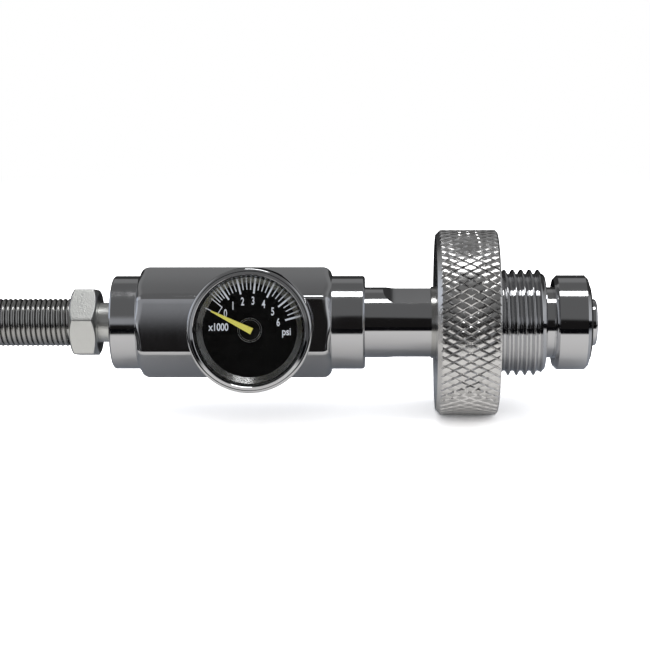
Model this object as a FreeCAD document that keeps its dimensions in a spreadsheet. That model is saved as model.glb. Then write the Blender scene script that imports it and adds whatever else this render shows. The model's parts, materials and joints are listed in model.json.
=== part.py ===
"""A high-pressure air fill adapter, as a parametric FreeCAD document.

A hexagonal manifold carries a small pressure gauge, a threaded cylinder connector with a captive
handwheel, and a crimped microbore hose with a spring guard at each end.

X runs along the connector, +X towards its nose, +Z is up, and the origin is on the axis at the
shoulder of the handwheel's thread. All sizes are in millimetres.
"""
import FreeCAD
import Part
import math
import os
import re
import Sketcher

SIZES = [
    # handwheel
    ("wheel_radius", 20.0, "outside of the handwheel over its knurl"),
    ("wheel_width", 13.2, "knurled part, along the axis"),
    ("wheel_edge", 1.0, "chamfer at both edges of the knurled part"),
    ("wheel_bore_gap", 0.06, "running gap between wheel and stem"),
    ("thread_radius", 11.455, "crests of the G 5/8 cylinder thread"),
    ("thread_length", 10.2, "from the wheel's shoulder to the thread's end"),
    ("thread_lead_in", 1.3, "chamfer at the thread's end"),
    ("friction_ring_thick", 1.8, "ring inside the wheel, along its radius"),
    ("friction_ring_wide", 1.8, "that ring, along the axis"),
    ("friction_ring_gap", 0.04, "gap inside and outside that ring"),
    ("friction_ring_slip", 0.2, "gap on each side of that ring"),
    # stem and nose
    ("stem_radius", 7.625, "plain stem"),
    ("stem_show", 15.2, "stem between the manifold and the wheel"),
    ("nose_float", 1.6, "gap between the wheel's end and the nose"),
    ("nose_radius", 10.2, "nose that enters the cylinder valve"),
    ("nose_length", 7.7, "nose along the axis"),
    ("nose_back_edge", 0.5, "chamfer at the back of the nose"),
    ("nose_front_edge", 0.9, "chamfer at the front of the nose"),
    ("face_ring_radius", 6.85, "mean radius of the nose's sealing ring"),
    ("face_ring_wire", 0.9, "section radius of that ring"),
    ("face_groove_depth", 1.5, "groove of that ring"),
    ("snap_ring_wide", 0.9, "stem's snap ring along the axis"),
    ("snap_ring_proud", 0.55, "snap ring above the stem"),
    ("snap_groove_depth", 0.55, "snap ring's groove in the stem"),
    ("snap_ring_slip", 0.08, "gap on each side of the snap ring"),
    ("snap_ring_mouth", 3.0, "opening of the snap ring"),
    ("flats_apart", 12.5, "across the stem's two wrench flats"),
    ("flats_start", 6.7, "manifold to the full depth of the flats"),
    ("flats_cutter", 3.6, "corner radius of the cutter of the flats"),
    ("flats_turn", 71.0, "flats' normal from the gauge's axis, degrees"),
    ("spigot_radius", 6.55, "stem's thread in the manifold"),
    ("spigot_length", 11.0, "from the manifold's face to the spigot's end"),
    ("spigot_neck", 5.6, "neck under the stem's sealing ring"),
    ("stem_ring_thick", 1.5, "stem's flat sealing ring, along its radius"),
    ("stem_ring_wide", 1.5, "stem's sealing ring, along the axis"),
    ("thread_slip", 0.05, "gap between a thread's crests and its hole"),
    # filter
    ("filter_radius", 4.0, "sintered filter"),
    ("filter_length", 4.0, "sintered filter, along the axis"),
    ("retainer_radius", 5.05, "threaded plug that holds the filter"),
    ("retainer_proud", 1.9, "plug in front of the nose"),
    ("retainer_edge", 0.55, "rounding of the plug's front"),
    ("retainer_length", 7.8, "plug, along the axis"),
    ("slot_width", 1.2, "screwdriver slot of the plug"),
    ("slot_depth", 1.0, "screwdriver slot of the plug"),
    ("insert_slip", 0.05, "gap round the filter and its plug"),
    ("gas_radius", 1.5, "air passages"),
    # manifold
    ("collar_radius", 10.1, "round collars at both ends"),
    ("front_collar", 7.1, "collar towards the wheel"),
    ("rear_collar", 5.7, "collar towards the hose"),
    ("collar_edge", 0.4, "chamfer of the collars"),
    ("hex_length", 41.7, "hexagonal part"),
    ("hex_flats", 21.0, "across the manifold's flats"),
    ("hex_bevel", 30.0, "turned bevel at the hexagon's ends, degrees"),
    ("hex_round", 1.9, "polished rounding of the hexagon's six long edges"),
    ("rear_port_depth", 9.0, "hose port"),
    ("gauge_port_depth", 7.3, "gauge port"),
    # gauge
    ("gauge_back", 16.1, "gauge's axis behind the hexagon's front end"),
    ("gauge_tilt", 12.5, "gauge's axis above the horizontal, degrees"),
    ("seal_thick", 2.0, "bonded seal under the gauge"),
    ("seal_radius", 7.2, "outside of the bonded seal"),
    ("seal_rubber", 1.0, "width of its rubber lip"),
    ("seal_rubber_proud", 0.15, "rubber lip short of the seal's faces"),
    ("pipe_thread", 4.865, "crests of a G 1/8 thread"),
    ("pipe_neck", 4.275, "undercut of a G 1/8 thread"),
    ("socket_flats", 12.0, "across the gauge socket's flats"),
    ("socket_hex", 4.0, "height of the socket's hexagon"),
    ("socket_boss", 4.0, "radius of the socket inside the case"),
    ("socket_boss_slip", 0.05, "gap between the boss and the case"),
    ("socket_boss_tall", 3.6, "boss above the socket's hexagon"),
    ("nut_tall", 1.4, "nut that clamps the case"),
    ("nut_flats", 12.0, "across the nut's flats"),
    ("case_radius", 12.5, "gauge case"),
    ("case_back", 1.0, "back wall of the case"),
    ("case_wall", 2.1, "side wall of the case"),
    ("case_edge", 1.2, "chamfer of the case's back"),
    ("case_length", 10.1, "case from its back to its rim"),
    ("rim_step", 0.4, "how much the rim under the bezel is reduced"),
    ("rim_wall", 0.8, "wall of that rim"),
    ("rim_depth", 1.8, "recess for dial and spacer"),
    ("bezel_proud", 0.2, "bezel outside the case"),
    ("bezel_length", 4.8, "bezel, along its axis"),
    ("bezel_slip", 0.02, "gap between bezel and rim"),
    ("bezel_lip", 0.6, "lip over the lens"),
    ("bezel_cover", 0.75, "how far the bezel's lip covers the rim"),
    ("bezel_round", 0.7, "rounding of the bezel's front"),
    ("gasket_thick", 0.3, "gasket under the lens"),
    ("lens_thick", 0.9, "lens"),
    ("lens_slip", 0.1, "gap round the lens"),
    ("dial_thick", 0.4, "dial plate"),
    ("dial_slip", 0.1, "gap round the dial and the spacer"),
    ("spacer_wall", 0.4, "spacer ring at the dial"),
    ("spacer_flare", 0.3, "how much wider it opens at the lens"),
    ("bush_radius", 2.8, "flange of the dial's bush"),
    ("bush_body", 1.8, "bush through the dial"),
    ("bush_tall", 0.35, "flange of the bush"),
    ("bush_long", 1.4, "bush below the dial"),
    ("spindle_radius", 0.5, "pointer's spindle"),
    ("spindle_gap", 0.06, "running gap round the spindle"),
    ("spindle_deep", 1.6, "spindle in the socket"),
    ("arm_radius", 0.35, "arm between spindle and tube"),
    ("pointer_lift", 0.25, "pointer above the bush"),
    ("pointer_thick", 0.3, "pointer"),
    ("pointer_hub", 0.75, "radius of the pointer's hub"),
    ("pointer_root", 1.6, "width of the blade at its tail"),
    ("pointer_tail", 0.7, "blade behind the pivot"),
    ("pointer_tip", 0.3, "width of the blade at its end"),
    ("pointer_length", 8.8, "pivot to the blade's end"),
    ("pointer_zero", 153.5, "blade's direction at zero, degrees"),
    ("spindle_head", 0.05, "spindle above the hub"),
    ("tube_coil", 5.6, "mean radius of the coiled pressure tube"),
    ("tube_thick", 0.7, "flattened tube, along its radius"),
    ("tube_tall", 1.1, "flattened tube, along the gauge's axis"),
    ("tube_turns", 2.0, "turns"),
    ("arm_slip", 0.3, "between the arm's end and the tube"),
    ("arm_room", 0.25, "between the arm and the dial's bush"),
    # hose ends
    ("hose_neck", 2.7, "gap between manifold and hose hexagon"),
    ("hose_flats", 14.0, "across the flats of the hose hexagon"),
    ("hose_hex", 6.2, "hose hexagon, along the axis"),
    ("hose_hex_edge", 0.4, "turned bevel inside the hexagon's flats"),
    ("hose_thread", 7.1, "thread of the hose end"),
    ("hose_thread_edge", 0.5, "chamfer of that thread"),
    ("port_washer_thick", 0.9, "copper washer in the port"),
    ("port_washer_slip", 0.1, "gap round the washer"),
    ("shank_radius", 2.5, "shank under the ferrule's base"),
    ("shank_length", 2.2, "shank under the ferrule's base"),
    ("nipple_radius", 1.0, "nipple inside the hose"),
    ("nipple_length", 13.0, "nipple inside the hose"),
    ("nipple_bore", 0.6, "air passage of the nipple"),
    ("ferrule_radius", 3.9, "crimped ferrule"),
    ("ferrule_length", 18.0, "crimped ferrule"),
    ("crimp_depth", 0.3, "crimped waists of the ferrule"),
    ("crimp_wide", 3.6, "each waist"),
    ("crimp_first", 4.5, "hexagon to the first waist"),
    ("crimp_second", 10.8, "hexagon to the second waist"),
    ("guard_radius", 5.0, "outside of the spring guard"),
    ("guard_wire", 1.09, "wire of the guard, wound close"),
    ("guard_turns", 32, "turns of the guard"),
    ("guard_groove", 0.46, "depth between its turns"),
    ("guard_slip", 0.02, "gap between guard and ferrule"),
    ("hose_radius", 2.5, "microbore hose"),
    # hose laid on the floor
    ("coil_inner_turn", 21.5, "radius where the innermost turn starts"),
    ("coil_turn_pitch", 5.2, "turn to turn"),
    ("coil_turns", 2.5, "turns of the stored coil"),
    ("coil_edge", 1.3, "chamfer of the coil's outer shape"),
]

COIL_CENTRE = (-187.0, -18.0)
FLOOR = "-wheel_radius"
LEAST_CUT = 1e-3
EDGE_MATCH = 1e-4
VOLUME_MATCH = 0.01
ARC_SHARE = 0.45

doc = FreeCAD.newDocument("fill_adapter")
sheet = doc.addObject("Spreadsheet::Sheet", "sizes")
for row, (alias, value, note) in enumerate(SIZES, start=1):
    sheet.set(f"A{row}", alias)
    sheet.set(f"B{row}", str(value))
    sheet.set(f"C{row}", note)
    sheet.setAlias(f"B{row}", alias)
doc.recompute()

ALIASES = re.compile(r"\b(" + "|".join(alias for alias, _, _ in SIZES) + r")\b")


def bound(formula):
    """The formula with each size named as a cell of the sheet."""
    return ALIASES.sub(r"sizes.\1", str(formula))


def number(formula):
    return float(sheet.evalExpression(bound(formula)))


# Places along the connector's axis, from the thread's shoulder.
WHEEL_BACK = "(-wheel_width)"
MANIFOLD_FRONT = f"({WHEEL_BACK} - stem_show)"
HEX_FRONT = f"({MANIFOLD_FRONT} - front_collar)"
HEX_REAR = f"({HEX_FRONT} - hex_length)"
MANIFOLD_REAR = f"({HEX_REAR} - rear_collar)"
GAUGE_PLACE = f"({HEX_FRONT} - gauge_back)"
NOSE_BACK = "(thread_length + nose_float)"
NOSE_FRONT = f"({NOSE_BACK} + nose_length)"
HOSE_HEX_FRONT = f"({MANIFOLD_REAR} - hose_neck)"
HOSE_HEX_REAR = f"({HOSE_HEX_FRONT} - hose_hex)"
GUARD_END = f"({HOSE_HEX_REAR} - guard_turns * guard_wire)"
FAR_END_HEIGHT = f"({FLOOR} + hose_flats / 2)"

# Heights above the connector's axis, along the gauge's own axis.
FACET = "(hex_flats / 2)"
SOCKET_BASE = f"({FACET} + seal_thick)"
CASE_BASE = f"({SOCKET_BASE} + socket_hex)"
CASE_RIM = f"({CASE_BASE} + case_length)"
RIM_FLOOR = f"({CASE_RIM} - rim_depth)"
DIAL_FACE = f"({RIM_FLOOR} + dial_thick)"
LENS_BACK = f"({CASE_RIM} + gasket_thick)"
LENS_FRONT = f"({LENS_BACK} + lens_thick)"
BEZEL_FRONT = f"({LENS_FRONT} + bezel_lip)"
BUSH_TOP = f"({DIAL_FACE} + bush_tall)"
BUSH_BOTTOM = f"({RIM_FLOOR} - bush_long)"
POINTER_BACK = f"({BUSH_TOP} + pointer_lift)"
TUBE_START = f"({CASE_BASE} + case_back + nut_tall + tube_tall / 2)"
ARM_HEIGHT = f"({BUSH_BOTTOM} - arm_room - arm_radius)"

# Radii of the gauge's pieces, all from the case's own.
CASE_INSIDE = "(case_radius - case_wall)"
CASE_RIM_RADIUS = "(case_radius - rim_step)"
RIM_INSIDE = f"({CASE_RIM_RADIUS} - rim_wall)"
BEZEL_RADIUS = "(case_radius + bezel_proud)"
BEZEL_OPEN = f"({CASE_RIM_RADIUS} - bezel_cover)"
LENS_RADIUS = f"({CASE_RIM_RADIUS} - lens_slip)"


# ---------------------------------------------------------------- helpers
def new_body(label):
    body = doc.addObject("PartDesign::Body", label)
    body.Label = label
    return body


def origin_feature(body, role):
    return [f for f in body.Origin.OriginFeatures if f.Role == role][0]


def new_sketch(body, plane, offset=None, turn=None):
    """A sketch on one of the body's own origin planes, lifted by offset and turned in its plane."""
    sketch = body.newObject("Sketcher::SketchObject", "Sketch")
    sketch.AttachmentSupport = (origin_feature(body, plane), [""])
    sketch.MapMode = "FlatFace"
    if turn is not None:
        about_z = FreeCAD.Rotation(FreeCAD.Vector(0, 0, 1), 1)
        sketch.AttachmentOffset = FreeCAD.Placement(FreeCAD.Vector(), about_z)
        sketch.setExpression("AttachmentOffset.Rotation.Angle", bound(turn))
    if offset is not None:
        sketch.setExpression("AttachmentOffset.Base.z", bound(offset))
    return sketch


def draw_outline(sketch, corners):
    """A closed outline of straight lines; each corner is a pair of formulas."""
    first = sketch.GeometryCount
    places = [FreeCAD.Vector(number(x), number(y), 0) for x, y in corners]
    count = len(places)
    for k in range(count):
        sketch.addGeometry(Part.LineSegment(places[k], places[(k + 1) % count]))
    for k in range(count):
        following = first + (k + 1) % count
        sketch.addConstraint(Sketcher.Constraint("Coincident", first + k, 2, following, 1))
    for k, corner in enumerate(corners):
        for kind, value, formula in zip(("DistanceX", "DistanceY"), places[k], corner):
            made = sketch.addConstraint(Sketcher.Constraint(kind, -1, 1, first + k, 1, value))
            sketch.setExpression(f"Constraints[{made}]", bound(formula))


def draw_circle(sketch, x, y, radius):
    """A circle; its centre and radius are formulas."""
    centre = FreeCAD.Vector(number(x), number(y), 0)
    circle = sketch.addGeometry(Part.Circle(centre, FreeCAD.Vector(0, 0, 1), number(radius)))
    for kind, value, formula in (("DistanceX", centre.x, x), ("DistanceY", centre.y, y)):
        made = sketch.addConstraint(Sketcher.Constraint(kind, -1, 1, circle, 3, value))
        sketch.setExpression(f"Constraints[{made}]", bound(formula))
    made = sketch.addConstraint(Sketcher.Constraint("Radius", circle, number(radius)))
    sketch.setExpression(f"Constraints[{made}]", bound(radius))


def revolve(body, sketch, about):
    turned = body.newObject("PartDesign::Revolution", "Turned")
    turned.Profile = sketch
    turned.ReferenceAxis = (sketch, [about])
    turned.Angle = 360
    doc.recompute()
    return turned


def turned_on_axis(label, corners):
    """A piece turned about X: corners are (place along X, radius)."""
    body = new_body(label)
    sketch = new_sketch(body, "XZ_Plane")
    draw_outline(sketch, corners)
    revolve(body, sketch, "H_Axis")
    return body


def turned_on_gauge(label, corners):
    """A piece turned about the gauge's axis: corners are (radius, height)."""
    body = new_body(label)
    sketch = new_sketch(body, "XZ_Plane")
    draw_outline(sketch, corners)
    revolve(body, sketch, "V_Axis")
    return stand_on_gauge_axis(body)


def ring_on_axis(label, place, mean_radius, wire_radius):
    """A ring of round section about X."""
    body = new_body(label)
    sketch = new_sketch(body, "XZ_Plane")
    draw_circle(sketch, place, mean_radius, wire_radius)
    revolve(body, sketch, "H_Axis")
    return body


def stand_on_gauge_axis(body, shift=GAUGE_PLACE):
    """Turns local +Z onto the gauge's axis, and moves the body along X."""
    about_x = FreeCAD.Rotation(FreeCAD.Vector(1, 0, 0), 1)
    body.Placement = FreeCAD.Placement(FreeCAD.Vector(), about_x)
    body.setExpression("Placement.Rotation.Angle", bound("90 - gauge_tilt"))
    body.setExpression("Placement.Base.x", bound(shift))
    return body


def cut(body, sketch, depth, towards_normal):
    """A pocket of that depth from the sketch, towards its normal or away from it."""
    before = body.Shape.Volume
    pocket = body.newObject("PartDesign::Pocket", "Cut")
    pocket.Profile = sketch
    pocket.Reversed = towards_normal
    pocket.setExpression("Length", bound(depth))
    doc.recompute()
    if not body.Shape.Volume < before - LEAST_CUT:
        raise ValueError(f"{body.Label}: {pocket.Name} cuts nothing")
    return pocket


def repeat_round(body, feature, axis_role, count):
    """Copies of one feature, evenly spaced about one of the body's own axes."""
    pattern = body.newObject("PartDesign::PolarPattern", "Copies")
    pattern.Originals = [feature]
    pattern.Axis = (origin_feature(body, axis_role), [""])
    pattern.Angle = 360
    pattern.Occurrences = count
    body.Tip = pattern
    doc.recompute()
    return pattern


def round_edge(body, place, radius, rounding, along="x"):
    """Rounds the circular edge at that place along the piece's axis with that radius."""
    tip = body.Tip
    wanted_place = number(place)
    wanted_radius = number(radius)
    names = []
    for k, edge in enumerate(tip.Shape.Edges, start=1):
        curve = edge.Curve
        if isinstance(curve, Part.Circle) and abs(curve.Radius - wanted_radius) < EDGE_MATCH:
            if abs(getattr(curve.Center, along) - wanted_place) < EDGE_MATCH:
                names.append(f"Edge{k}")
    if not names:
        raise ValueError(f"{body.Label}: no edge at {place}")
    fillet = body.newObject("PartDesign::Fillet", "Rounding")
    fillet.Base = (tip, names)
    fillet.setExpression("Radius", bound(rounding))
    doc.recompute()
    return fillet


def round_long_edges(body, shortest, rounding):
    """Rounds the straight edges along X that are longer than shortest."""
    tip = body.Tip
    names = []
    for k, edge in enumerate(tip.Shape.Edges, start=1):
        if isinstance(edge.Curve, Part.Line) and edge.Length > number(shortest):
            if abs(edge.tangentAt(edge.FirstParameter).x) > 1 - EDGE_MATCH:
                names.append(f"Edge{k}")
    if not names:
        raise ValueError(f"{body.Label}: no long edges")
    fillet = body.newObject("PartDesign::Fillet", "Rounding")
    fillet.Base = (tip, names)
    fillet.setExpression("Radius", bound(rounding))
    doc.recompute()
    return fillet


def hexagon_cuts(body, across_flats, low, high, axis):
    """Mills six flats between low and high along axis "X" or "Z"."""
    wide = f"({across_flats})"
    if axis == "X":
        sketch = new_sketch(body, "XY_Plane", offset=f"{across_flats} / 2")
        strip = [(low, f"-{wide}"), (high, f"-{wide}"), (high, wide), (low, wide)]
        draw_outline(sketch, strip)
        flat = cut(body, sketch, wide, towards_normal=True)
        return repeat_round(body, flat, "X_Axis", 6)
    sketch = new_sketch(body, "XZ_Plane", offset=f"{across_flats} / 2")
    strip = [(f"-{wide}", low), (wide, low), (wide, high), (f"-{wide}", high)]
    draw_outline(sketch, strip)
    flat = cut(body, sketch, wide, towards_normal=True)
    return repeat_round(body, flat, "Z_Axis", 6)


def shape_feature(label, shape, placement=None):
    piece = doc.addObject("Part::Feature", label)
    piece.Label = label
    piece.Shape = shape
    if placement is not None:
        piece.Placement = placement
    return piece


# ---------------------------------------------------------------- connector
def make_handwheel():
    """Knurled captive wheel with the male cylinder thread."""
    bore = "(stem_radius + wheel_bore_gap)"
    root = "(thread_radius - thread_lead_in)"
    groove = "(stem_radius + friction_ring_thick + 2 * friction_ring_gap)"
    middle = "(wheel_width / -2)"
    side = "(friction_ring_wide / 2 + friction_ring_slip)"
    return turned_on_axis(
        "handwheel",
        [
            (WHEEL_BACK, bore),
            (WHEEL_BACK, "wheel_radius - wheel_edge"),
            (f"{WHEEL_BACK} + wheel_edge", "wheel_radius"),
            ("-wheel_edge", "wheel_radius"),
            ("0", "wheel_radius - wheel_edge"),
            ("0", "thread_radius"),
            ("thread_length - thread_lead_in", "thread_radius"),
            ("thread_length", root),
            ("thread_length", bore),
            (f"{middle} + {side}", bore),
            (f"{middle} + {side}", groove),
            (f"{middle} - {side}", groove),
            (f"{middle} - {side}", bore),
        ],
    )


def make_friction_ring():
    """Flat ring in the wheel's bore, which stops the wheel from rattling."""
    inside = "(stem_radius + friction_ring_gap)"
    outside = f"({inside} + friction_ring_thick)"
    rear = "(wheel_width / -2 - friction_ring_wide / 2)"
    front = "(wheel_width / -2 + friction_ring_wide / 2)"
    return turned_on_axis(
        "wheel_friction_ring",
        [(rear, inside), (rear, outside), (front, outside), (front, inside)],
    )


SNAP_FRONT = f"({WHEEL_BACK} - snap_ring_slip)"
SNAP_REAR = f"({SNAP_FRONT} - snap_ring_wide)"


def make_connector_stem():
    """Nose, stem and threaded spigot, turned from one bar and drilled through."""
    neck_end = f"({MANIFOLD_FRONT} - stem_ring_wide - insert_slip)"
    spigot_end = f"({MANIFOLD_FRONT} - spigot_length)"
    chamber = "(filter_radius + insert_slip)"
    plug_hole = "(retainer_radius + insert_slip)"
    plug_seat = f"({NOSE_FRONT} + retainer_proud - retainer_length)"
    chamber_end = f"({plug_seat} - filter_length)"
    groove_in = "(face_ring_radius - face_ring_wire - 2 * insert_slip)"
    groove_out = "(face_ring_radius + face_ring_wire + 2 * insert_slip)"
    groove_floor = f"({NOSE_FRONT} - face_groove_depth)"
    snap_floor = "(stem_radius - snap_groove_depth)"
    snap_front = f"({SNAP_FRONT} + snap_ring_slip / 2)"
    snap_rear = f"({SNAP_REAR} - snap_ring_slip)"
    body = turned_on_axis(
        "connector_stem",
        [
            (spigot_end, "gas_radius"),
            (spigot_end, "spigot_radius - thread_lead_in / 2"),
            (f"{spigot_end} + thread_lead_in / 2", "spigot_radius"),
            (neck_end, "spigot_radius"),
            (neck_end, "spigot_neck"),
            (MANIFOLD_FRONT, "spigot_neck"),
            (MANIFOLD_FRONT, "stem_radius"),
            (snap_rear, "stem_radius"),
            (snap_rear, snap_floor),
            (snap_front, snap_floor),
            (snap_front, "stem_radius"),
            (NOSE_BACK, "stem_radius"),
            (NOSE_BACK, "nose_radius - nose_back_edge"),
            (f"{NOSE_BACK} + nose_back_edge", "nose_radius"),
            (f"{NOSE_FRONT} - nose_front_edge", "nose_radius"),
            (NOSE_FRONT, "nose_radius - nose_front_edge"),
            (NOSE_FRONT, groove_out),
            (groove_floor, groove_out),
            (groove_floor, groove_in),
            (NOSE_FRONT, groove_in),
            (NOSE_FRONT, plug_hole),
            (plug_seat, plug_hole),
            (plug_seat, chamber),
            (chamber_end, chamber),
            (chamber_end, "gas_radius"),
        ],
    )
    mill_wrench_flats(body)
    return body


def mill_wrench_flats(body):
    """Two opposite flats; the cutter's round corner shows at the manifold's end."""
    full = f"({MANIFOLD_FRONT} + flats_start)"
    end = f"({SNAP_REAR} - 3 * snap_ring_slip)"
    about_x = FreeCAD.Rotation(FreeCAD.Vector(1, 0, 0), 1)
    body.Placement = FreeCAD.Placement(FreeCAD.Vector(), about_x)
    body.setExpression("Placement.Rotation.Angle", bound("90 - gauge_tilt - flats_turn"))
    sketch = new_sketch(body, "XZ_Plane")
    half = "(flats_apart / 2)"
    above = f"({half} + flats_cutter)"
    middle = f"({full} - flats_cutter * sin(45))"
    middle_height = f"({half} + flats_cutter * (1 - cos(45)))"
    top = f"({full} - flats_cutter)"
    corners = [(full, half), (end, half), (end, above), (top, above)]
    places = [FreeCAD.Vector(number(x), number(y), 0) for x, y in corners]
    through = FreeCAD.Vector(number(middle), number(middle_height), 0)
    for k in range(3):
        sketch.addGeometry(Part.LineSegment(places[k], places[k + 1]))
    sketch.addGeometry(Part.Arc(places[3], through, places[0]))
    for k in range(2):
        sketch.addConstraint(Sketcher.Constraint("Coincident", k, 2, k + 1, 1))
    ends = [(2, 2), (0, 1)]
    arc_ends = sorted((1, 2), key=lambda end: sketch.getPoint(3, end).distanceToPoint(places[3]))
    for (line, which), arc_end in zip(ends, arc_ends):
        sketch.addConstraint(Sketcher.Constraint("Coincident", line, which, 3, arc_end))
    for line, which, corner in ((0, 1, 0), (1, 1, 1), (2, 1, 2), (2, 2, 3)):
        for kind, value, formula in zip(("DistanceX", "DistanceY"), places[corner], corners[corner]):
            made = sketch.addConstraint(Sketcher.Constraint(kind, -1, 1, line, which, value))
            sketch.setExpression(f"Constraints[{made}]", bound(formula))
    made = sketch.addConstraint(Sketcher.Constraint("Radius", 3, number("flats_cutter")))
    sketch.setExpression(f"Constraints[{made}]", bound("flats_cutter"))
    pocket = body.newObject("PartDesign::Pocket", "Flat")
    pocket.Profile = sketch
    pocket.SideType = "Symmetric"
    pocket.setExpression("Length", bound("2 * nose_radius"))
    doc.recompute()
    repeat_round(body, pocket, "X_Axis", 2)


def make_snap_ring():
    """Open steel ring in the stem's groove, which holds the wheel on the stem."""
    body = turned_on_axis(
        "stem_snap_ring",
        [
            (SNAP_REAR, "stem_radius - snap_groove_depth + insert_slip"),
            (SNAP_REAR, "stem_radius + snap_ring_proud"),
            (SNAP_FRONT, "stem_radius + snap_ring_proud"),
            (SNAP_FRONT, "stem_radius - snap_groove_depth + insert_slip"),
        ],
    )
    sketch = new_sketch(body, "XY_Plane")
    half = "(snap_ring_mouth / 2)"
    behind = f"({SNAP_REAR} - snap_ring_wide)"
    ahead = f"({SNAP_FRONT} + snap_ring_wide)"
    mouth = [(behind, f"-{half}"), (ahead, f"-{half}"), (ahead, half), (behind, half)]
    draw_outline(sketch, mouth)
    cut(body, sketch, "2 * stem_radius", towards_normal=False)
    return body


def make_stem_seal():
    """Flat sealing ring between the stem's shoulder and the manifold."""
    inside = "(spigot_neck + insert_slip)"
    outside = f"({inside} + stem_ring_thick)"
    front = f"({MANIFOLD_FRONT} - insert_slip / 2)"
    rear = f"({front} - stem_ring_wide)"
    return turned_on_axis(
        "stem_seal_ring",
        [(rear, inside), (rear, outside), (front, outside), (front, inside)],
    )


def make_face_ring():
    """Sealing ring in the nose's face."""
    place = f"{NOSE_FRONT} - face_groove_depth + face_ring_wire + insert_slip / 2"
    return ring_on_axis("nose_face_ring", place, "face_ring_radius", "face_ring_wire")


def make_filter():
    front = f"({NOSE_FRONT} + retainer_proud - retainer_length)"
    rear = f"({front} - filter_length)"
    return turned_on_axis(
        "sintered_filter",
        [(rear, "0"), (rear, "filter_radius"), (front, "filter_radius"), (front, "0")],
    )


def make_retainer():
    """Slotted plug in the middle of the nose, over the filter."""
    front = f"({NOSE_FRONT} + retainer_proud)"
    rear = f"({front} - retainer_length)"
    body = turned_on_axis(
        "filter_retainer",
        [
            (rear, "gas_radius"),
            (rear, "retainer_radius"),
            (front, "retainer_radius"),
            (front, "gas_radius"),
        ],
    )
    round_edge(body, front, "retainer_radius", "retainer_edge")
    sketch = new_sketch(body, "YZ_Plane", offset=front)
    half = "(slot_width / 2)"
    long = "(2 * retainer_radius)"
    slot = [(f"-{long}", f"-{half}"), (long, f"-{half}"), (long, half), (f"-{long}", half)]
    draw_outline(sketch, slot)
    cut(body, sketch, "slot_depth", towards_normal=False)
    return body


# ---------------------------------------------------------------- manifold
def make_manifold():
    """Hexagonal body with round collars, bored for the stem, the hose and the gauge."""
    corner = "(hex_flats / 2 / cos(30))"
    bevel = f"(({corner} - collar_radius) * tan(hex_bevel))"
    front_hole = "(spigot_radius + thread_slip)"
    front_floor = f"({MANIFOLD_FRONT} - spigot_length - thread_lead_in)"
    pocket = "(spigot_neck + stem_ring_thick + 2 * insert_slip)"
    pocket_floor = f"({MANIFOLD_FRONT} - stem_ring_wide - insert_slip)"
    rear_hole = "(pipe_thread + thread_slip)"
    rear_floor = f"({MANIFOLD_REAR} + rear_port_depth)"
    body = turned_on_axis(
        "manifold",
        [
            (MANIFOLD_REAR, rear_hole),
            (MANIFOLD_REAR, "collar_radius - collar_edge"),
            (f"{MANIFOLD_REAR} + collar_edge", "collar_radius"),
            (HEX_REAR, "collar_radius"),
            (f"{HEX_REAR} + {bevel}", corner),
            (f"{HEX_FRONT} - {bevel}", corner),
            (HEX_FRONT, "collar_radius"),
            (f"{MANIFOLD_FRONT} - collar_edge", "collar_radius"),
            (MANIFOLD_FRONT, "collar_radius - collar_edge"),
            (MANIFOLD_FRONT, pocket),
            (pocket_floor, pocket),
            (pocket_floor, front_hole),
            (front_floor, front_hole),
            (front_floor, "gas_radius"),
            (rear_floor, "gas_radius"),
            (rear_floor, rear_hole),
        ],
    )
    hexagon_cuts(body, "hex_flats", HEX_REAR, HEX_FRONT, "X")
    round_long_edges(body, "hex_length / 2", "hex_round")
    port_floor = f"({FACET} - gauge_port_depth)"
    for radius, low in ((rear_hole, port_floor), ("gas_radius", "0")):
        sketch = new_sketch(body, "XY_Plane", offset=low)
        draw_circle(sketch, GAUGE_PLACE, "0", radius)
        cut(body, sketch, f"hex_flats - {low}", towards_normal=True)
    return stand_on_gauge_axis(body, shift="0")


# ---------------------------------------------------------------- gauge
def make_bonded_seal():
    """Steel washer with a rubber lip bonded inside it."""
    hole = "(pipe_thread + thread_slip)"
    split = f"({hole} + seal_rubber)"
    outside = "seal_radius"
    turned_on_gauge(
        "gauge_seal_washer",
        [(split, FACET), (outside, FACET), (outside, SOCKET_BASE), (split, SOCKET_BASE)],
    )
    low = f"{FACET} + seal_rubber_proud"
    high = f"{SOCKET_BASE} - seal_rubber_proud"
    turned_on_gauge("gauge_seal_lip", [(hole, low), (split, low), (split, high), (hole, high)])


def make_gauge_socket():
    """Brass socket: pipe thread, hexagon, and a boss that carries the movement."""
    start = f"({FACET} - gauge_port_depth + thread_slip)"
    corner = "(socket_flats / 2 / cos(30))"
    boss_top = f"({CASE_BASE} + socket_boss_tall)"
    bore_top = f"({CASE_BASE} + case_back)"
    hole = "(spindle_radius + spindle_gap)"
    hole_floor = f"({boss_top} - spindle_deep - thread_slip)"
    body = turned_on_gauge(
        "gauge_socket",
        [
            ("gas_radius", start),
            ("pipe_thread - hose_thread_edge", start),
            ("pipe_thread", f"{start} + hose_thread_edge"),
            ("pipe_thread", SOCKET_BASE),
            (corner, SOCKET_BASE),
            (corner, CASE_BASE),
            ("socket_boss", CASE_BASE),
            ("socket_boss", boss_top),
            (hole, boss_top),
            (hole, hole_floor),
            ("0", hole_floor),
            ("0", bore_top),
            ("gas_radius", bore_top),
        ],
    )
    hexagon_cuts(body, "socket_flats", SOCKET_BASE, CASE_BASE, "Z")
    return body


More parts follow.
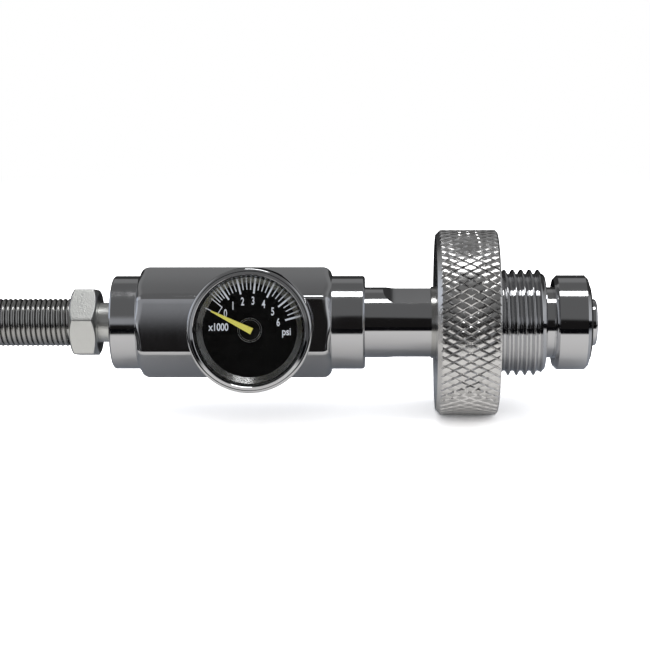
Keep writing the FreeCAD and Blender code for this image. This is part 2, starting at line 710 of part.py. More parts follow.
def make_socket_nut():
    low = f"({CASE_BASE} + case_back)"
    high = f"({low} + nut_tall)"
    hole = "(socket_boss + socket_boss_slip)"
    corner = "(nut_flats / 2 / cos(30))"
    outline = [(hole, low), (corner, low), (corner, high), (hole, high)]
    body = turned_on_gauge("gauge_socket_nut", outline)
    hexagon_cuts(body, "nut_flats", low, high, "Z")
    return body


def make_gauge_case():
    """Turned cup with a reduced rim for the bezel and a recess for the dial."""
    hole = "(socket_boss + socket_boss_slip)"
    shoulder = f"({BEZEL_FRONT} - bezel_length)"
    floor = f"({CASE_BASE} + case_back)"
    return turned_on_gauge(
        "gauge_case",
        [
            (hole, CASE_BASE),
            ("case_radius - case_edge", CASE_BASE),
            ("case_radius", f"{CASE_BASE} + case_edge"),
            ("case_radius", shoulder),
            (CASE_RIM_RADIUS, shoulder),
            (CASE_RIM_RADIUS, CASE_RIM),
            (RIM_INSIDE, CASE_RIM),
            (RIM_INSIDE, RIM_FLOOR),
            (CASE_INSIDE, RIM_FLOOR),
            (CASE_INSIDE, floor),
            (hole, floor),
        ],
    )


def make_bezel():
    """Pressed ring with a rounded front and a lip over the lens."""
    shoulder = f"({BEZEL_FRONT} - bezel_length)"
    inside = f"({CASE_RIM_RADIUS} + bezel_slip)"
    body = turned_on_gauge(
        "gauge_bezel",
        [
            (inside, shoulder),
            (BEZEL_RADIUS, shoulder),
            (BEZEL_RADIUS, BEZEL_FRONT),
            (f"{BEZEL_OPEN} + bezel_lip / 4", BEZEL_FRONT),
            (BEZEL_OPEN, f"{BEZEL_FRONT} - bezel_lip / 4"),
            (BEZEL_OPEN, LENS_FRONT),
            (inside, LENS_FRONT),
        ],
    )
    round_edge(body, BEZEL_FRONT, BEZEL_RADIUS, "bezel_round", along="z")
    return body


def make_lens_stack():
    """Gasket, lens and spacer ring between the rim and the dial."""
    turned_on_gauge(
        "lens_gasket",
        [
            (RIM_INSIDE, CASE_RIM),
            (LENS_RADIUS, CASE_RIM),
            (LENS_RADIUS, LENS_BACK),
            (RIM_INSIDE, LENS_BACK),
        ],
    )
    turned_on_gauge(
        "gauge_lens",
        [("0", LENS_BACK), (LENS_RADIUS, LENS_BACK), (LENS_RADIUS, LENS_FRONT), ("0", LENS_FRONT)],
    )
    outside = f"({RIM_INSIDE} - dial_slip)"
    turned_on_gauge(
        "dial_spacer",
        [
            (f"{outside} - spacer_wall", DIAL_FACE),
            (outside, DIAL_FACE),
            (outside, CASE_RIM),
            (f"{outside} - spacer_wall + spacer_flare", CASE_RIM),
        ],
    )


def make_dial():
    outside = f"({RIM_INSIDE} - dial_slip)"
    hole = "(bush_body + insert_slip)"
    return turned_on_gauge(
        "gauge_dial",
        [(hole, RIM_FLOOR), (outside, RIM_FLOOR), (outside, DIAL_FACE), (hole, DIAL_FACE)],
    )


def make_dial_bush():
    """Flanged bearing in the middle of the dial."""
    hole = "(spindle_radius + spindle_gap)"
    return turned_on_gauge(
        "dial_bush",
        [
            (hole, BUSH_BOTTOM),
            ("bush_body", BUSH_BOTTOM),
            ("bush_body", DIAL_FACE),
            ("bush_radius", DIAL_FACE),
            ("bush_radius", BUSH_TOP),
            (hole, BUSH_TOP),
        ],
    )


def make_spindle():
    """Pointer's spindle, with the arm that the pressure tube turns."""
    low = f"({CASE_BASE} + socket_boss_tall - spindle_deep)"
    high = f"({POINTER_BACK} + pointer_thick + spindle_head)"
    body = turned_on_gauge(
        "pointer_spindle",
        [("0", low), ("spindle_radius", low), ("spindle_radius", high), ("0", high)],
    )
    arm = new_sketch(body, "YZ_Plane")
    draw_circle(arm, "0", ARM_HEIGHT, "arm_radius")
    pad = body.newObject("PartDesign::Pad", "Arm")
    pad.Profile = arm
    pad.setExpression("Length", bound("tube_coil - tube_thick / 2 - arm_slip"))
    doc.recompute()
    return body


def make_pressure_tube():
    """Coiled flat tube that unwinds under pressure; its last turn ends beside the spindle's arm."""
    coil = number("tube_coil")
    rise = number(f"{ARM_HEIGHT} - {TUBE_START}")
    helix = Part.makeHelix(rise / number("tube_turns"), rise, coil)
    helix.translate(FreeCAD.Vector(0, 0, number(TUBE_START)))
    across = number("tube_thick / 2")
    up = number("tube_tall / 2")
    start = helix.Edges[0].valueAt(helix.Edges[0].FirstParameter)
    corners = [
        start + FreeCAD.Vector(side * across, 0, lift * up)
        for side, lift in ((-1, -1), (1, -1), (1, 1), (-1, 1), (-1, -1))
    ]
    section = Part.makePolygon(corners)
    tube = Part.Wire(helix.Edges).makePipeShell([section], True, True)
    about_x = FreeCAD.Rotation(FreeCAD.Vector(1, 0, 0), number("90 - gauge_tilt"))
    place = FreeCAD.Vector(number(GAUGE_PLACE), 0, 0)
    shape_feature("pressure_tube", tube, FreeCAD.Placement(place, about_x))


def make_pointer():
    """Thin tapered blade on a round hub, pointing at zero."""
    body = new_body("gauge_pointer")
    sketch = new_sketch(body, "XY_Plane", offset=POINTER_BACK, turn="pointer_zero")
    root = "(pointer_root / 2)"
    tip = "(pointer_tip / 2)"
    end = "pointer_length"
    tail = "-pointer_tail"
    draw_outline(sketch, [(tail, f"-{root}"), (end, f"-{tip}"), (end, tip), (tail, root)])
    blade = body.newObject("PartDesign::Pad", "Blade")
    blade.Profile = sketch
    blade.setExpression("Length", bound("pointer_thick"))
    hub_sketch = new_sketch(body, "XY_Plane", offset=POINTER_BACK)
    draw_circle(hub_sketch, "0", "0", "pointer_hub")
    hub = body.newObject("PartDesign::Pad", "Hub")
    hub.Profile = hub_sketch
    hub.setExpression("Length", bound("pointer_thick"))
    doc.recompute()
    hole = new_sketch(body, "XY_Plane", offset=POINTER_BACK)
    draw_circle(hole, "0", "0", "spindle_radius")
    cut(body, hole, "2 * pointer_thick", towards_normal=True)
    return stand_on_gauge_axis(body)


# ---------------------------------------------------------------- hose and its ends
def make_hose_end(prefix, shift):
    """Crimped hose end: threaded fitting, ferrule and spring guard, moved by shift."""
    pieces = [
        make_end_fitting(f"{prefix}hose_fitting"),
        make_ferrule(f"{prefix}crimp_ferrule"),
        make_guard(f"{prefix}spring_guard"),
    ]
    for piece in pieces:
        piece.Placement = FreeCAD.Placement(FreeCAD.Vector(*shift), FreeCAD.Rotation())


def make_end_fitting(label):
    tip = f"({HOSE_HEX_FRONT} + hose_neck + hose_thread + hose_thread_edge)"
    corner = "(hose_flats / 2 / cos(30))"
    turned_face = "(hose_flats / 2 - hose_hex_edge)"
    bevel = f"(({corner} - {turned_face}) * tan(hex_bevel))"
    thread_start = f"({MANIFOLD_REAR} + hose_thread_edge)"
    shank_end = f"({HOSE_HEX_REAR} - shank_length)"
    body = turned_on_axis(
        label,
        [
            (f"{shank_end} - nipple_length", "nipple_bore"),
            (f"{shank_end} - nipple_length", "nipple_radius"),
            (shank_end, "nipple_radius"),
            (shank_end, "shank_radius"),
            (HOSE_HEX_REAR, "shank_radius"),
            (HOSE_HEX_REAR, turned_face),
            (f"{HOSE_HEX_REAR} + {bevel}", corner),
            (f"{HOSE_HEX_FRONT} - {bevel}", corner),
            (HOSE_HEX_FRONT, turned_face),
            (HOSE_HEX_FRONT, "pipe_neck"),
            (thread_start, "pipe_neck"),
            (f"{thread_start} + hose_thread_edge", "pipe_thread"),
            (f"{tip} - hose_thread_edge", "pipe_thread"),
            (tip, "pipe_thread - hose_thread_edge"),
            (tip, "nipple_bore"),
        ],
    )
    hexagon_cuts(body, "hose_flats", HOSE_HEX_REAR, HOSE_HEX_FRONT, "X")
    return body


def make_ferrule(label):
    """Sleeve crimped in two waists round the hose."""
    inside = "(hose_radius + insert_slip)"
    waist = "(ferrule_radius - crimp_depth)"
    corners = [(HOSE_HEX_REAR, inside), (HOSE_HEX_REAR, "ferrule_radius")]
    for first in ("crimp_first", "crimp_second"):
        high = f"({HOSE_HEX_REAR} - {first})"
        low = f"({high} - crimp_wide)"
        corners += [
            (high, "ferrule_radius"),
            (f"{high} - crimp_depth", waist),
            (f"{low} + crimp_depth", waist),
            (low, "ferrule_radius"),
        ]
    rear = f"({HOSE_HEX_REAR} - ferrule_length)"
    corners += [(rear, "ferrule_radius"), (rear, inside)]
    return turned_on_axis(label, corners)


def make_guard(label):
    """Close-wound spring over the ferrule and the start of the hose, as one ribbed sleeve."""
    wire = number("guard_wire")
    crest = number("guard_radius")
    valley = number("guard_radius - guard_groove")
    inside = number("ferrule_radius + guard_slip")
    turns = int(number("guard_turns"))
    front = number(HOSE_HEX_REAR)
    rear = front - turns * wire
    outline = [FreeCAD.Vector(rear, 0, inside), FreeCAD.Vector(front, 0, inside)]
    for turn in range(turns):
        outline.append(FreeCAD.Vector(front - turn * wire, 0, valley))
        outline.append(FreeCAD.Vector(front - (turn + 0.5) * wire, 0, crest))
    outline.append(FreeCAD.Vector(rear, 0, valley))
    face = Part.Face(Part.makePolygon(outline + outline[:1]))
    sleeve = face.revolve(FreeCAD.Vector(), FreeCAD.Vector(1, 0, 0), 360)
    return shape_feature(label, sleeve)


def make_port_washer():
    high = f"({MANIFOLD_REAR} + rear_port_depth)"
    low = f"({high} - port_washer_thick)"
    outside = "(pipe_thread - port_washer_slip)"
    return turned_on_axis(
        "hose_port_washer",
        [(low, "gas_radius"), (low, outside), (high, outside), (high, "gas_radius")],
    )


def smooth_path(points):
    """Straight runs joined by tangent arcs, each as large as its two runs allow, and their radii."""
    edges = []
    radii = []
    start = points[0]
    for before, corner, after in zip(points, points[1:], points[2:]):
        back = before - corner
        ahead = after - corner
        shorter = min(back.Length, ahead.Length)
        half_turn = (math.pi - back.getAngle(ahead)) / 2
        setback = ARC_SHARE * shorter
        radius = setback / math.tan(half_turn)
        back.normalize()
        ahead.normalize()
        arc_start = corner + back * setback
        arc_end = corner + ahead * setback
        inwards = back + ahead
        inwards.normalize()
        middle = corner + inwards * (radius / math.cos(half_turn) - radius)
        edges.append(Part.LineSegment(start, arc_start).toShape())
        edges.append(Part.Arc(arc_start, middle, arc_end).toShape())
        radii.append(round(radius, 1))
        start = arc_end
    edges.append(Part.LineSegment(start, points[-1]).toShape())
    return Part.Wire(edges), radii


def make_hose_run(label, points, inside_end, hidden, direction):
    """A stretch of hose along its route, with its hidden straight part inside the ferrule."""
    path, radii = smooth_path(points)
    radius = number("hose_radius")
    heading = points[1] - points[0]
    section = Part.Wire([Part.makeCircle(radius, points[0], heading)])
    run = path.makePipeShell([section], True, False)
    expected = math.pi * radius**2 * path.Length
    share = run.Volume / expected
    print(f"{label}: radii {radii}, length {path.Length:.1f}, volume {share:.4f} of expected")
    if abs(share - 1) > VOLUME_MATCH:
        raise ValueError(f"{label}: the sweep's volume is wrong")
    stub = Part.makeCylinder(radius, hidden, inside_end, direction)
    shank = inside_end + direction * hidden
    nipple = Part.makeCylinder(number("nipple_radius"), number("nipple_length"), shank, -direction)
    return shape_feature(label, run.fuse(stub).cut(nipple))


def hose_hidden_length():
    """Hose inside the guard, from the guard's mouth to the fitting's shank."""
    return number(f"{HOSE_HEX_REAR} - shank_length - {GUARD_END}")


def make_hose():
    """The hose: from the near guard down to the floor, a flat coil, and out to the far end."""
    floor_line = number(f"{FLOOR} + hose_radius")
    centre_x, centre_y = COIL_CENTRE
    first_turn = number("coil_inner_turn")
    last_turn = number("coil_inner_turn + coil_turn_pitch * coil_turns")
    guard_end = number(GUARD_END)
    near = [
        FreeCAD.Vector(guard_end, 0, 0),
        FreeCAD.Vector(-138.5, 0, 0),
        FreeCAD.Vector(-150.5, 0.6, -4.4),
        FreeCAD.Vector(-161.2, 1.7, -9.5),
        FreeCAD.Vector(-171.8, 2.9, -12.3),
        FreeCAD.Vector(-181.0, 3.4, -15.3),
    ]
    along = FreeCAD.Vector(1, 0, 0)
    hidden = hose_hidden_length()
    make_hose_run("hose_lead", near, near[0], hidden, along)

    half = number("hose_radius")
    low = floor_line - half
    outer = Part.makeCylinder(last_turn + half, 2 * half, FreeCAD.Vector(centre_x, centre_y, low))
    inner = Part.makeCylinder(first_turn - half, 2 * half, FreeCAD.Vector(centre_x, centre_y, low))
    ring = outer.cut(inner)
    circles = [edge for edge in ring.Edges if isinstance(edge.Curve, Part.Circle)]
    shape_feature("hose_coil", ring.makeChamfer(number("coil_edge"), circles))

    tail_y = centre_y - last_turn
    end_height = number(FAR_END_HEIGHT)
    far = [
        FreeCAD.Vector(-185.0, tail_y, floor_line),
        FreeCAD.Vector(-176.3, tail_y, floor_line + 0.4),
        FreeCAD.Vector(-166.0, tail_y, end_height),
        FreeCAD.Vector(-155.0, tail_y, end_height),
    ]
    make_hose_run("hose_tail", far, far[-1], hidden, along)
    return FreeCAD.Vector(far[-1].x - guard_end, tail_y, end_height)


make_handwheel()
make_friction_ring()
make_connector_stem()
make_snap_ring()
make_stem_seal()
make_face_ring()
make_filter()
make_retainer()
make_manifold()
make_bonded_seal()
make_gauge_socket()
make_socket_nut()
make_gauge_case()
make_bezel()
make_lens_stack()
make_dial()
make_dial_bush()
make_spindle()
make_pressure_tube()
make_pointer()
make_port_washer()
far_shift = make_hose()
make_hose_end("", (0, 0, 0))
make_hose_end("far_", far_shift)

# ---------------------------------------------------------------- check and export
doc.recompute()
for item in doc.Objects:
    if "Invalid" in item.State or "Error" in item.State:
        raise ValueError(f"{item.Label} failed to build: {item.State}")

os.makedirs("parts", exist_ok=True)
pieces = [item for item in doc.Objects if item.TypeId in ("PartDesign::Body", "Part::Feature")]
for piece in pieces:
    if piece.Shape.isNull() or not piece.Shape.isValid():
        raise ValueError(f"{piece.Label} has no valid shape")
    piece.Shape.exportStep(f"parts/{piece.Label}.step")
    box = piece.Shape.BoundBox
    extent = f"x {box.XMin:.2f} to {box.XMax:.2f}"
    print(f"{piece.Label}: {len(piece.Shape.Solids)} solid, {piece.Shape.Volume:.1f} mm3, {extent}")
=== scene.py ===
# %% [markdown]
# # A high-pressure fill adapter
#
# The object is a chrome-plated fill adapter: a hexagonal body with a small pressure gauge on its
# front facet, a knurled handwheel with a cylinder thread on the right, and a crimped black hose
# with a spring guard on the left. The construction, with every size and joint, is already made.
# These cells dress it: they add the turned, knurled, wound and printed detail, and the finishes.
# The first cell loads that construction, and notes its box.

# %% Load the construction
import bmesh
import json
import math
import bpy
from mathutils import Matrix, Vector


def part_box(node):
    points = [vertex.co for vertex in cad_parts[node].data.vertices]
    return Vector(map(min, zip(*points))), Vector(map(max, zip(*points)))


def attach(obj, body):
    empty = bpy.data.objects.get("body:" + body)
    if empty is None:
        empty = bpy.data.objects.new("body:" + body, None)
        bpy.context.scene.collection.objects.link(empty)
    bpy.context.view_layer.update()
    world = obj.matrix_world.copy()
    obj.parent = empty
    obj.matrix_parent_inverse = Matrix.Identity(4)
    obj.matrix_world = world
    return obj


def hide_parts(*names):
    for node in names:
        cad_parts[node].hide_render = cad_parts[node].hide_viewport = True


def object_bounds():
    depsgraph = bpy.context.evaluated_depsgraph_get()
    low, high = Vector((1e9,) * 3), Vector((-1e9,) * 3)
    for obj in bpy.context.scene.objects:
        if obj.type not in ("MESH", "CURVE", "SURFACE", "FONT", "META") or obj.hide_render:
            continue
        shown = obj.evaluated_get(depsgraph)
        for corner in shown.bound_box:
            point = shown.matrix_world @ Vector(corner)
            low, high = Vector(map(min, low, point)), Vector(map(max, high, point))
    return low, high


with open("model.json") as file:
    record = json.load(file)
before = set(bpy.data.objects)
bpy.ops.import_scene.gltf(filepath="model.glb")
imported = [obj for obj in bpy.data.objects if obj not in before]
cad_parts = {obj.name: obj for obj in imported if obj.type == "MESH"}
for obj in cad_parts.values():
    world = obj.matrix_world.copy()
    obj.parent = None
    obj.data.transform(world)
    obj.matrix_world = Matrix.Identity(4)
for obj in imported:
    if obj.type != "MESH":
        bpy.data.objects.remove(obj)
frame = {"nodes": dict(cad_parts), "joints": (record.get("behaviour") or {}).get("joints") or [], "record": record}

CAD_BOX = [[float(x) for x in corner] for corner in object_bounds()]
MM = 0.001
scene = bpy.context.scene
print("construction from", CAD_BOX[0], "to", CAD_BOX[1])

# %% [markdown]
# The camera stands a little above the object, in front of its middle, with a long lens, as for a
# product portrait. Its picture is level with the connector's axis, which is the X axis of the
# frame. A Track To constraint could aim it, but it would level the picture with the table
# instead, so the camera's matrix is built from that axis and from the direction of view.

# %% Camera
CAMERA_RISE = math.radians(16.0)
CAMERA_AWAY = 384 * MM
CAMERA_ALONG = -25.4 * MM
LOOK_AT = Vector((-37.1, 0, -0.6)) * MM

camera = bpy.data.objects.new("camera", bpy.data.cameras.new("camera"))
scene.collection.objects.link(camera)
stand = Vector((0, -math.cos(CAMERA_RISE), math.sin(CAMERA_RISE))) * CAMERA_AWAY
stand.x = CAMERA_ALONG
ahead = (LOOK_AT - stand).normalized()
right = (Vector((1, 0, 0)) - ahead * ahead.x).normalized()
up = right.cross(ahead)
camera.matrix_world = Matrix.Translation(stand) @ Matrix((right, up, -ahead)).transposed().to_4x4()
camera.data.lens = 98.0
camera.data.sensor_width = 36.0
camera.data.clip_start = 0.01
scene.camera = camera
scene.view_settings.view_transform = "Standard"
print("camera at", tuple(round(x, 4) for x in stand))

# %% [markdown]
# Finishes, table and room are all drawn with shader nodes, and a few small helpers keep those
# trees short. Each takes the tree and what goes in, a plain value or another node's output, and
# gives back its own output.

# %% Node helpers
def feed(tree, socket, value):
    """Links an output to the socket, or writes a plain value into it."""
    if isinstance(value, bpy.types.NodeSocket):
        tree.links.new(value, socket)
    else:
        socket.default_value = value


def maths(tree, operation, *values):
    """One Math node."""
    node = tree.nodes.new("ShaderNodeMath")
    node.operation = operation
    for socket, value in zip(node.inputs, values):
        feed(tree, socket, value)
    return node.outputs[0]


def between(tree, value, low, high):
    """0 below low, 1 above high, and a soft step between them."""
    node = tree.nodes.new("ShaderNodeMapRange")
    node.interpolation_type = "SMOOTHSTEP"
    feed(tree, node.inputs["Value"], value)
    feed(tree, node.inputs["From Min"], low)
    feed(tree, node.inputs["From Max"], high)
    return node.outputs[0]


def ramp(tree, value, stops):
    """A colour ramp of greys from (place, grey) pairs."""
    node = tree.nodes.new("ShaderNodeValToRGB")
    elements = node.color_ramp.elements
    while len(elements) > 1:
        elements.remove(elements[0])
    for k, (place, grey) in enumerate(stops):
        element = elements[0] if k == 0 else elements.new(place)
        element.position = place
        element.color = (grey, grey, grey, 1)
    feed(tree, node.inputs[0], value)
    return node.outputs["Color"]


def mixed(tree, share, first, second, blend="MIX"):
    """A mix of two colours; the share is that of the second."""
    node = tree.nodes.new("ShaderNodeMix")
    node.data_type = "RGBA"
    node.blend_type = blend
    for socket, value in ((node.inputs[0], share), (node.inputs[6], first), (node.inputs[7], second)):
        feed(tree, socket, value)
    return node.outputs[2]


def either(tree, share, first, second):
    """A mix of two shaders; the share is that of the second."""
    node = tree.nodes.new("ShaderNodeMixShader")
    for socket, value in zip(node.inputs, (share, first, second)):
        feed(tree, socket, value)
    return node.outputs[0]


def coloured(tree, kind, colour):
    """A plain shader, such as a background or a matt surface, of one colour."""
    node = tree.nodes.new(kind)
    feed(tree, node.inputs["Color"], colour)
    return node.outputs[0]


# %% [markdown]
# Polished metal has no look of its own: it shows what stands round it. So the room matters more
# than the metal's own colour. Real walls and cards could stand round the object, or a studio
# picture could be loaded; here they are painted into the world, which needs no other file, and
# each wall can be moved by one number.
#
# A height is a share of the half circle from the front over the top to the back. The room is
# dark low down in front, grey above that, lighter behind the top, and dark again at the back.
# The dark part reaches less high towards both sides, and far out stand two pale side walls. A
# card stands low in front, left of the middle, and a pale window further to the left. What the
# camera sees beyond the table is plain white, and rays from matt surfaces meet an even grey, so
# that shadows stay soft. Each pair of numbers below says where a soft edge starts and ends.

# %% Room
WALL_GREYS = [(0.70, 0.15), (0.745, 0.25), (0.84, 0.25), (0.86, 0.045)]
FRONT_DARK = (0.013, 0.012, 0.012, 1)
FRONT_TOP = 28.2 / 180
FRONT_SOFT = 0.045
LEFT_FALL, LEFT_FALL_START = 189.0 / 180, 0.015
RIGHT_FALL = 90.0 / 180
MOST_FALL = 0.09
SIDE_GREY = (0.60, 0.61, 0.63, 1)
SIDE_REACH = (0.5, 0.85)
SIDE_END = (-0.6, -0.1)
CARD_GREY = (0.36, 0.365, 0.38, 1)
CARD_EDGE = (0.085, 0.125)
CARD_TOP = (0.19, 0.11)
CARD_FOOT = (0.038, 0.080)
WINDOW_BLUE = (0.62, 0.68, 0.80, 1)
WINDOW = Vector((-0.93, 0.33, -0.05)).normalized()
WINDOW_EDGE = (0.86, 0.98)
EVEN_GREY = (0.62, 0.62, 0.6262, 1)
WHITE = (1, 1, 1, 1)


def front_to_back(tree, side, height):
    """The dark front with its soft upper edge, and the greys from there to the back."""
    left = maths(tree, "MULTIPLY_ADD", side, -LEFT_FALL, -LEFT_FALL_START)
    right = maths(tree, "MULTIPLY", side, RIGHT_FALL)
    lowered = tree.nodes.new("ShaderNodeClamp")
    lowered.inputs["Max"].default_value = MOST_FALL
    feed(tree, lowered.inputs["Value"], maths(tree, "MAXIMUM", left, right))
    edge = maths(tree, "SUBTRACT", FRONT_TOP, lowered.outputs[0])
    edge_top = maths(tree, "ADD", edge, FRONT_SOFT)
    return mixed(tree, between(tree, height, edge, edge_top), FRONT_DARK, ramp(tree, height, WALL_GREYS))


def with_sides(tree, colour, side, forward):
    """Adds the pale side walls, which end a little behind the object."""
    beside = between(tree, maths(tree, "ABSOLUTE", side), *SIDE_REACH)
    in_front = between(tree, forward, *SIDE_END)
    return mixed(tree, maths(tree, "MULTIPLY", beside, in_front), colour, SIDE_GREY)


def with_card(tree, colour, side, height):
    """Adds the low card on the left, with a soft edge on three sides."""
    leftward = between(tree, maths(tree, "MULTIPLY", side, -1.0), *CARD_EDGE)
    below_top = between(tree, height, *CARD_TOP)
    above_foot = between(tree, height, *CARD_FOOT)
    share = maths(tree, "MULTIPLY", maths(tree, "MULTIPLY", leftward, below_top), above_foot)
    return mixed(tree, share, colour, CARD_GREY)


def with_window(tree, colour, direction):
    """Adds the round window."""
    facing = tree.nodes.new("ShaderNodeVectorMath")
    facing.operation = "DOT_PRODUCT"
    facing.inputs[1].default_value = WINDOW
    feed(tree, facing.inputs[0], direction)
    return mixed(tree, between(tree, facing.outputs["Value"], *WINDOW_EDGE), colour, WINDOW_BLUE)


def build_room():
    """Dark and grey walls for the metal, white for the camera, even grey for matt surfaces."""
    scene.world = bpy.data.worlds.new("room")
    scene.world.use_nodes = True
    tree = scene.world.node_tree
    tree.nodes.clear()
    direction = tree.nodes.new("ShaderNodeTexCoord").outputs["Generated"]
    split = tree.nodes.new("ShaderNodeSeparateXYZ")
    feed(tree, split.inputs[0], direction)
    side = split.outputs["X"]
    forward = maths(tree, "MULTIPLY", split.outputs["Y"], -1.0)
    angle = maths(tree, "ARCTAN2", split.outputs["Z"], forward)
    height = maths(tree, "MULTIPLY", angle, 1 / math.pi)
    walls = front_to_back(tree, side, height)
    walls = with_sides(tree, walls, side, forward)
    walls = with_card(tree, walls, side, height)
    walls = with_window(tree, walls, direction)
    mirrored, even, white = (coloured(tree, "ShaderNodeBackground", c) for c in (walls, EVEN_GREY, WHITE))
    rays = tree.nodes.new("ShaderNodeLightPath").outputs
    for_matt = either(tree, rays["Is Diffuse Ray"], mirrored, even)
    out = tree.nodes.new("ShaderNodeOutputWorld")
    feed(tree, out.inputs["Surface"], either(tree, rays["Is Camera Ray"], for_matt, white))


build_room()
print("room has", len(scene.world.node_tree.nodes), "nodes")

# %% [markdown]
# One soft box hangs overhead. It draws the white lines along the tops of the round parts, and
# its size is what makes those lines wide or narrow. A bright patch in the world could do the
# same, but a lamp also throws the soft shadow on the table.

# %% Soft box
LAMP_AIM = Vector((0.03, 0, 0))
LAMP_AWAY = 1.1
LAMP_SIZE = (0.45, 0.26)
LAMP_WATTS = 1.9

lamp = bpy.data.lights.new("overhead_box", "AREA")
lamp.shape = "RECTANGLE"
lamp.size, lamp.size_y = LAMP_SIZE
lamp.energy = LAMP_WATTS
lamp_holder = bpy.data.objects.new("overhead_box", lamp)
scene.collection.objects.link(lamp_holder)
lamp_holder.location = LAMP_AIM + Vector((0, 0, LAMP_AWAY))
lamp_holder.rotation_euler = Vector((0, 0, -1)).to_track_quat("-Z", "Y").to_euler()
lamp_holder.visible_camera = False
print("lamp of", LAMP_WATTS, "W at", tuple(round(x, 3) for x in lamp_holder.location))

# %% [markdown]
# The table is a plain white sheet. To the camera its near part is lit and keeps the object's
# shadow, and its far part is simply white, so that there is no horizon. Seen in the metal, the
# sheet is white in front of the object and carries a painted shade, darker and bluer, under and
# behind it; matt surfaces see that painted shade too. Further off, soonest behind the object, it
# falls into the dark of the room, as a small table does. One material can do all of this, because
# Light Path tells it which ray is asking.

# %% Table
TABLE_REACH = 6.0
LIT_WHITE = (3.2, 3.2, 3.2, 1)
SHEET_FRONT = (1.08, 1.06, 1.03, 1)
# The next colour is a painted shade: the sheet's colour under and behind the object, as metal and matt surfaces
# see it.
SHEET_PAINTED_SHADE = (0.42, 0.45, 0.50, 1)
SHEET_DARK = (0.005, 0.005, 0.006, 1)
SHEET_MIDDLE = Vector((0, -0.035, 0))
SHEET_SQUASH = (0.4, 1, 0)
# Where the painted shade under and behind the object starts, and where it is full, along Y.
PAINTED_SHADE_LINE = (-0.022, 0.012)
MIRROR_END = (0.050, 0.085)
SHADOW_END = (0.13, 0.30)


def table_surface():
    """The sheet's material: lit for the camera, painted with shade under and behind the object,
    and ending early in the metal's reflections.
    """
    material = bpy.data.materials.new("white_sheet")
    material.use_nodes = True
    tree = material.node_tree
    tree.nodes.clear()
    place = tree.nodes.new("ShaderNodeTexCoord").outputs["Object"]
    squash = tree.nodes.new("ShaderNodeVectorMath")
    squash.operation = "MULTIPLY_ADD"
    for socket, value in zip(squash.inputs, (place, SHEET_SQUASH, -SHEET_MIDDLE)):
        feed(tree, socket, value)
    away = tree.nodes.new("ShaderNodeVectorMath")
    away.operation = "LENGTH"
    feed(tree, away.inputs[0], squash.outputs[0])
    split = tree.nodes.new("ShaderNodeSeparateXYZ")
    feed(tree, split.inputs[0], place)
    # Painted shade: the sheet turns darker and bluer from just in front of the object to behind it, where the
    # object's own shadow lies; metal and matt surfaces see it, the camera doesn't.
    behind = between(tree, split.outputs["Y"], *PAINTED_SHADE_LINE)
    sheet = coloured(tree, "ShaderNodeBsdfDiffuse", mixed(tree, behind, SHEET_FRONT, SHEET_PAINTED_SHADE))
    dark = coloured(tree, "ShaderNodeBsdfDiffuse", SHEET_DARK)
    in_metal = either(tree, between(tree, away.outputs["Value"], *MIRROR_END), sheet, dark)
    lit = coloured(tree, "ShaderNodeBsdfDiffuse", LIT_WHITE)
    white = coloured(tree, "ShaderNodeEmission", WHITE)
    seen = either(tree, between(tree, away.outputs["Value"], *SHADOW_END), lit, white)
    rays = tree.nodes.new("ShaderNodeLightPath").outputs
    others = either(tree, rays["Is Glossy Ray"], sheet, in_metal)
    out = tree.nodes.new("ShaderNodeOutputMaterial")
    feed(tree, out.inputs["Surface"], either(tree, rays["Is Camera Ray"], others, seen))
    return material


def build_table():
    """One large face, level with the object's lowest point."""
    low = CAD_BOX[0][2]
    sides = ((-1, -1), (1, -1), (1, 1), (-1, 1))
    mesh = bpy.data.meshes.new("table")
    mesh.from_pydata([(x * TABLE_REACH, y * TABLE_REACH, low) for x, y in sides], [], [(0, 1, 2, 3)])
    mesh.materials.append(table_surface())
    table = bpy.data.objects.new("table", mesh)
    scene.collection.objects.link(table)
    return table


table = build_table()
print("table is", round(2 * TABLE_REACH), "m wide, at height", round(CAD_BOX[0][2], 4))

# %% [markdown]
# Finishes come next. Every metal here is one Principled shader with a grain: a noise that moves
# the roughness a little, and a much finer one that lifts the surface by thousandths of a
# millimetre. Turned parts carry rings round their axis, so their noise is stretched round it.
# Image textures could show the same wear, but noise needs no unwrapping and stays sharp close up.
# The lens is glass that lets lamp light straight through, because light that glass bends would
# reach the dial only as noise.

